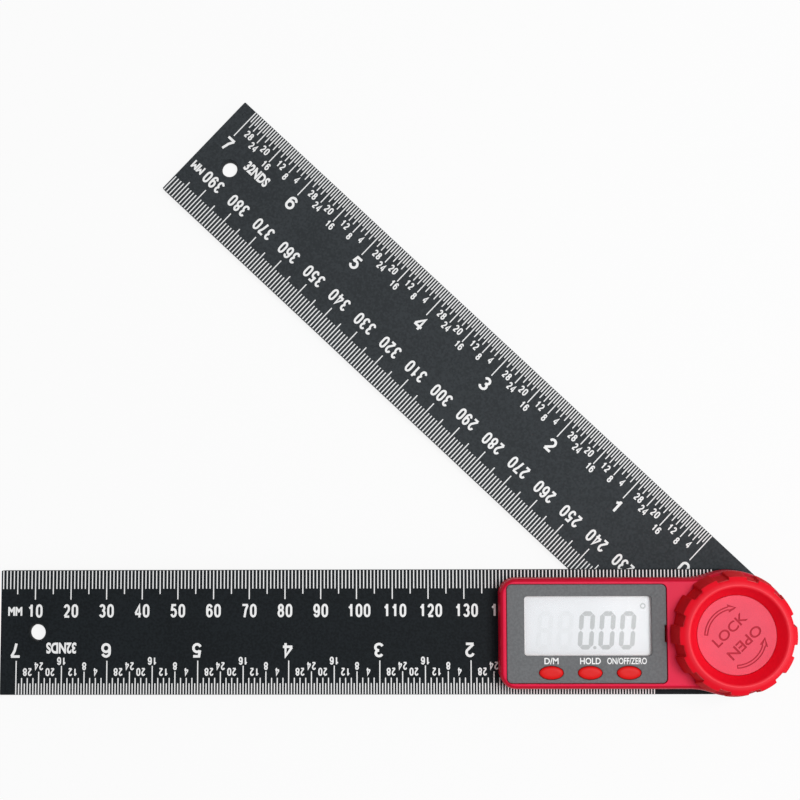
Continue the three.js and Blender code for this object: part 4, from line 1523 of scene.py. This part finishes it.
# Radii at the root and the crest, height of a flank, flat on the crest, plain lengths before
# and after the thread, and the tip's chamfer, inwards and down
BOLT_THREAD = {
    "root": 2.2,
    "crest": 2.48,
    "flank": 0.2,
    "flat": 0.08,
    "pitch": 0.8,
    "lead": 0.2,
    "tail": 0.5,
    "chamfer": (0.4, 0.3),
}
SCREW_THREAD = {
    "root": 0.8,
    "crest": 1.0,
    "flank": 0.15,
    "flat": 0.05,
    "pitch": 0.5,
    "lead": 0.5,
    "tail": 0.8,
    "chamfer": (0.5, 0.4),
}
# Face of a screw's head, as radius and height from its middle outwards, and its chamfer
SCREW_FACE = ((1.5, 0.0), (1.9, 0.12), (2.1, 0.4))
SCREW_CHAMFER = 0.05
FRICTION_BORE = 9  # radius
WASHER_BORE = 2.6  # radius
RING_EDGE = 0.08
COVER_RADIUS = 11.6
COVER_EDGE = 0.15
COIN_SLOT = (6, 0.8, 0.78)  # half length, half width, radius of its ends
COIN_SLOT_DEPTH = 0.5
LOCK_DOTS = (0.5, 9.6, 0.2)  # radius, distance from the cover's middle, depth
LUG = (10, 12.5, 1.5)  # inner and outer reach, half width
LUG_HEIGHT = 0.4
LUG_EDGE = 0.06
CROSS = (1.05, 0.25, 0.5)  # half length, half width, depth


def threaded_end(start, tip, root, crest, flank, flat, pitch, lead, tail, chamfer):
    """Section of a threaded end from a height up to its chamfered tip."""
    points = []
    z = start + lead
    while z < tip - tail:
        points += [(root, z), (crest, z + flank)]
        points += [(crest, z + flank + flat), (root, z + 2 * flank + flat)]
        z += pitch
    inwards, down = chamfer
    return [*points, (root, tip - down), (root - inwards, tip)]


def build_bolt():
    high = box_mm("pivot_bolt")[1]
    top = box_mm("housing_shell")[1].z
    head, foot = high.x, top - NECK_DROP
    half, core = NECK
    profile = [
        *BOLT_DIMPLE,
        *((head + out, up) for out, up in HEAD_TURN),
        (head, BOLT_HEAD - HEAD_CHAMFER),
        (head - HEAD_CHAMFER, BOLT_HEAD),
        (JOURNAL, BOLT_HEAD),
        (JOURNAL, foot),
        (core, foot),
        (core, top),
        *threaded_end(top, high.z, **BOLT_THREAD),
    ]
    radius, away, depth = SPANNER_HOLES
    holes = [rounded_disc(radius, -OVERRUN, depth, FINE_EDGE, x, 0, 32) for x in (-away, away)]
    neck = block(-half, half, -half, half, foot, top)
    mesh = joined([carved(lathe(profile), holes), neck])
    piece("pivot_bolt_turned", mesh, "base", "steel", ["pivot_bolt"])


def build_ring(name, node, body, slot, bore, sides):
    low, high = box_mm(node)
    loops = [circle(0, 0, high.x, sides), circle(0, 0, bore)]
    piece(name, plate(loops, low.z, high.z, RING_EDGE, RING_EDGE, 2), body, slot, [node])


def build_hinge():
    build_bolt()
    build_ring("friction_ring_disc", "friction_ring", "base", "white_plastic", FRICTION_BORE, 128)
    build_ring("thrust_washer_disc", "thrust_washer", "knob_washer", "steel", WASHER_BORE, 96)


def build_battery_cover():
    low, high = box_mm("battery_cover")
    [(x, y)] = centres(["coin_cell"])
    long, wide, ends = COIN_SLOT
    outline = [p + Vector((x, y)) for p in rounded_rectangle(-long, long, -wide, wide, ends)]
    edge = COVER_EDGE
    levels = [(-edge, low.z - OVERRUN), (-edge, low.z), (0, low.z + edge), (0, low.z + COIN_SLOT_DEPTH)]
    radius, away, depth = LOCK_DOTS
    cutters = [column([outline], levels)]
    lugs = []
    inner, outer, half = LUG
    for angle in LUG_ANGLES:
        turn = math.radians(angle)
        dot = (x + away * math.cos(turn), y + away * math.sin(turn))
        cutters.append(rounded_disc(radius, low.z - OVERRUN, low.z + depth, POCKET_EDGE, *dot, 32))
        lug = block(inner, outer, -half, half, high.z - LUG_HEIGHT, high.z, LUG_EDGE)
        lugs.append(turned(lug, angle, x, y))
    disc = rounded_disc(COVER_RADIUS, low.z, high.z, edge, x, y, 128)
    mesh = joined([carved(disc, cutters), *lugs])
    piece("battery_cover_disc", mesh, "cover", "arm_black", ["battery_cover"])


def build_screws():
    long, wide, depth = CROSS
    head = SCREW_FACE[-1][0]
    for node, (x, y) in zip(SCREWS, centres(SCREWS)):
        low, high = box_mm(node)
        seat = low.z + SCREW_HEAD
        profile = [
            *((radius, low.z + up) for radius, up in SCREW_FACE),
            (head, seat - SCREW_CHAMFER),
            (head - SCREW_CHAMFER, seat),
            (SCREW_THREAD["root"], seat),
            *threaded_end(seat, high.z, **SCREW_THREAD),
        ]
        cross = [
            block(x - a, x + a, y - b, y + b, low.z - OVERRUN, low.z + depth)
            for a, b in ((long, wide), (wide, long))
        ]
        mesh = carved(lathe(profile, 48, x, y), cross)
        piece(f"{node}_turned", mesh, "base", "steel", [node])


def finish_inner_nodes():
    """Gives every frame node that is still shown the finish of its slot."""
    slots = {row["node"]: row["material_slot"] for row in frame["record"]["subparts"]}
    for name, node in frame["nodes"].items():
        if not node.hide_render:
            node.data.materials.clear()
            node.data.materials.append(FINISHES[slots[name]])


# Stage, in metres and radians

FLOOR_HALF = 1.6
FLOOR_DROP = 0.0002  # floor under the tool
PAPER = (rgba(0.86, 0.86, 0.86), rgba(0.90, 0.90, 0.90))
PAPER_GLOW = 0.88  # share of white in the floor, which leaves the object's shadow on it
WHITE = rgba(1, 1, 1)
KEY_LIGHT = {"place": (0.22, 0.1, 0.95), "target": (-0.06, 0.03, 0.0), "side": 0.35}
SIDE_LIGHT = {"place": (0.75, -0.25, 0.45), "target": (0.0, 0.0, 0.01), "side": 0.5}
# Camera's place, and the turns from the world to its view, found from the scales' marks
CAMERA_PLACE = (-0.08515, 0.03159, 0.43517)
CAMERA_TURN = {"X": -0.0775, "Y": -0.0129, "Z": 0.0035}
SENSOR_WIDTH = 36.0
CLIP = (0.01, 10.0)


def softbox(name, place, target, side, power):
    """Square light that faces a target."""
    light = bpy.data.lights.new(name, "AREA")
    light.shape = "SQUARE"
    light.size = side
    light.energy = power
    lamp = placed(name, light)
    lamp.location = place
    lamp.rotation_euler = (Vector(target) - Vector(place)).to_track_quat("-Z", "Y").to_euler()


def floor_material():
    """Pale paper that the camera sees as bright, with the object's soft shadow left on it."""
    shade = new_finish("paper")
    paper = shade.mixed(*PAPER, shade.noise(900.0, 4.0, 0.6))
    look = {"Base Color": paper, "Roughness": 1.0, "Specular IOR Level": 0.0}
    diffuse = shade.node("ShaderNodeBsdfPrincipled", inputs=look)
    bright = shade.node("ShaderNodeEmission", inputs={"Color": WHITE, "Strength": 1.0})
    layers = {0: shade.seen() * PAPER_GLOW, 1: diffuse, 2: bright}
    shown = shade.node("ShaderNodeMixShader", inputs=layers)
    shade.node("ShaderNodeOutputMaterial", inputs={"Surface": shown})
    return shade.owner


def sky(settings):
    """Even soft light from all round, white where the camera looks straight at it."""
    shade = Shade(bpy.data.worlds.new("sky"))
    soft_look = {"Color": rgba(*settings.sky), "Strength": settings.sky_strength}
    soft = shade.node("ShaderNodeBackground", inputs=soft_look)
    white = shade.node("ShaderNodeBackground", inputs={"Color": WHITE, "Strength": 1.0})
    shown = shade.node("ShaderNodeMixShader", inputs={0: shade.seen(), 1: soft, 2: white})
    shade.node("ShaderNodeOutputWorld", inputs={"Surface": shown})
    return shade.owner


def add_floor():
    half = FLOOR_HALF
    corners = [(-half, -half, 0), (half, -half, 0), (half, half, 0), (-half, half, 0)]
    mesh = bpy.data.meshes.new("floor")
    mesh.from_pydata(corners, [], [(0, 1, 2, 3)])
    mesh.materials.append(floor_material())
    floor = placed("floor", mesh)
    floor.location.z = -FLOOR_DROP


def add_camera(settings):
    camera = bpy.data.cameras.new("camera")
    camera.sensor_width = SENSOR_WIDTH
    camera.lens = settings.lens
    camera.clip_start, camera.clip_end = CLIP
    # The turns lead from the world to the camera's view, so their inverse turns the camera
    x, y, z = (Matrix.Rotation(CAMERA_TURN[axis], 3, axis) for axis in "XYZ")
    turn = (z @ y @ x).transposed().to_4x4()
    viewer = placed("camera", camera)
    viewer.matrix_world = Matrix.Translation(CAMERA_PLACE) @ turn
    bpy.context.scene.camera = viewer


def build_stage(settings):
    add_floor()
    softbox("key", **KEY_LIGHT, power=settings.key_power)
    softbox("side", **SIDE_LIGHT, power=settings.side_power)
    add_camera(settings)
    bpy.context.scene.world = sky(settings)
    bpy.context.scene.view_settings.view_transform = "Standard"


# Operators, in the order in which they run


class FINDER_OT_finishes(Operator):
    """Make the materials of every finish"""

    bl_idname = "finder.finishes"
    bl_label = "Finishes"
    bl_options = {"REGISTER", "UNDO"}

    def execute(self, context):
        add_finishes(in_mm(context.scene.finder_colours), in_mm(context.scene.finder_knob))
        return {"FINISHED"}


class FINDER_OT_arms(Operator):
    """Build both ruler arms"""

    bl_idname = "finder.arms"
    bl_label = "Arms"
    bl_options = {"REGISTER", "UNDO"}

    def execute(self, context):
        settings = in_mm(context.scene.finder_arm)
        build_base_arm(settings)
        build_swing_arm(settings)
        return {"FINISHED"}


class FINDER_OT_scales(Operator):
    """Print the millimetre and inch scales on both arms"""

    bl_idname = "finder.scales"
    bl_label = "Scales"
    bl_options = {"REGISTER", "UNDO"}

    def execute(self, context):
        build_scales(in_mm(context.scene.finder_scale))
        return {"FINISHED"}


class FINDER_OT_housing(Operator):
    """Build the display housing"""

    bl_idname = "finder.housing"
    bl_label = "Housing"
    bl_options = {"REGISTER", "UNDO"}

    def execute(self, context):
        build_housing(in_mm(context.scene.finder_housing))
        return {"FINISHED"}


class FINDER_OT_panel(Operator):
    """Build the panel and its labels"""

    bl_idname = "finder.panel"
    bl_label = "Panel"
    bl_options = {"REGISTER", "UNDO"}

    def execute(self, context):
        build_panel(in_mm(context.scene.finder_housing))
        return {"FINISHED"}


class FINDER_OT_display(Operator):
    """Build the display, its digits and its window"""

    bl_idname = "finder.display"
    bl_label = "Display"
    bl_options = {"REGISTER", "UNDO"}

    def execute(self, context):
        build_display(in_mm(context.scene.finder_display))
        build_window()
        return {"FINISHED"}


class FINDER_OT_buttons(Operator):
    """Build the three buttons"""

    bl_idname = "finder.buttons"
    bl_label = "Buttons"
    bl_options = {"REGISTER", "UNDO"}

    def execute(self, context):
        build_buttons()
        return {"FINISHED"}


class FINDER_OT_knob(Operator):
    """Build the lock knob with its grip teeth"""

    bl_idname = "finder.knob"
    bl_label = "Knob"
    bl_options = {"REGISTER", "UNDO"}

    def execute(self, context):
        build_knob(in_mm(context.scene.finder_knob))
        return {"FINISHED"}


class FINDER_OT_cap(Operator):
    """Build the engraved cap in the knob"""

    bl_idname = "finder.cap"
    bl_label = "Cap"
    bl_options = {"REGISTER", "UNDO"}

    def execute(self, context):
        build_cap(in_mm(context.scene.finder_knob))
        return {"FINISHED"}


class FINDER_OT_hinge(Operator):
    """Build the pivot bolt, friction ring and thrust washer"""

    bl_idname = "finder.hinge"
    bl_label = "Hinge"
    bl_options = {"REGISTER", "UNDO"}

    def execute(self, context):
        build_hinge()
        return {"FINISHED"}


class FINDER_OT_underside(Operator):
    """Build the battery cover and the housing screws"""

    bl_idname = "finder.underside"
    bl_label = "Underside"
    bl_options = {"REGISTER", "UNDO"}

    def execute(self, context):
        build_battery_cover()
        build_screws()
        return {"FINISHED"}


class FINDER_OT_inside(Operator):
    """Finish the inner pieces that keep the frame's own shape"""

    bl_idname = "finder.inside"
    bl_label = "Inside"
    bl_options = {"REGISTER", "UNDO"}

    def execute(self, context):
        finish_inner_nodes()
        return {"FINISHED"}


class FINDER_OT_stage(Operator):
    """Set the floor, the lights and the camera"""

    bl_idname = "finder.stage"
    bl_label = "Stage"
    bl_options = {"REGISTER", "UNDO"}

    def execute(self, context):
        build_stage(in_mm(context.scene.finder_stage))
        return {"FINISHED"}


STEPS = (
    FINDER_OT_finishes,
    FINDER_OT_arms,
    FINDER_OT_scales,
    FINDER_OT_housing,
    FINDER_OT_panel,
    FINDER_OT_display,
    FINDER_OT_buttons,
    FINDER_OT_knob,
    FINDER_OT_cap,
    FINDER_OT_hinge,
    FINDER_OT_underside,
    FINDER_OT_inside,
    FINDER_OT_stage,
)


class FINDER_PT_sidebar(Panel):
    """Steps and settings in the sidebar"""

    bl_label = "Angle Finder"
    bl_space_type = "VIEW_3D"
    bl_region_type = "UI"
    bl_category = "Angle Finder"

    def draw(self, context):
        for step in STEPS:
            self.layout.operator(step.bl_idname)
        for key, group in SETTINGS.items():
            box = self.layout.box()
            box.label(text=key.removeprefix("finder_").title())
            for field in group.__annotations__:
                box.prop(getattr(context.scene, key), field)


CLASSES = (*SETTINGS.values(), *STEPS, FINDER_PT_sidebar)


def register():
    for made in CLASSES:
        bpy.utils.register_class(made)
    for key, group in SETTINGS.items():
        setattr(bpy.types.Scene, key, PointerProperty(type=group))


def unregister():
    for key in SETTINGS:
        delattr(bpy.types.Scene, key)
    for made in reversed(CLASSES):
        bpy.utils.unregister_class(made)


def main():
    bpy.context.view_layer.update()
    register()
    for step in STEPS:
        getattr(bpy.ops.finder, step.bl_idname.removeprefix("finder."))()


if __name__ == "__main__":
    main()
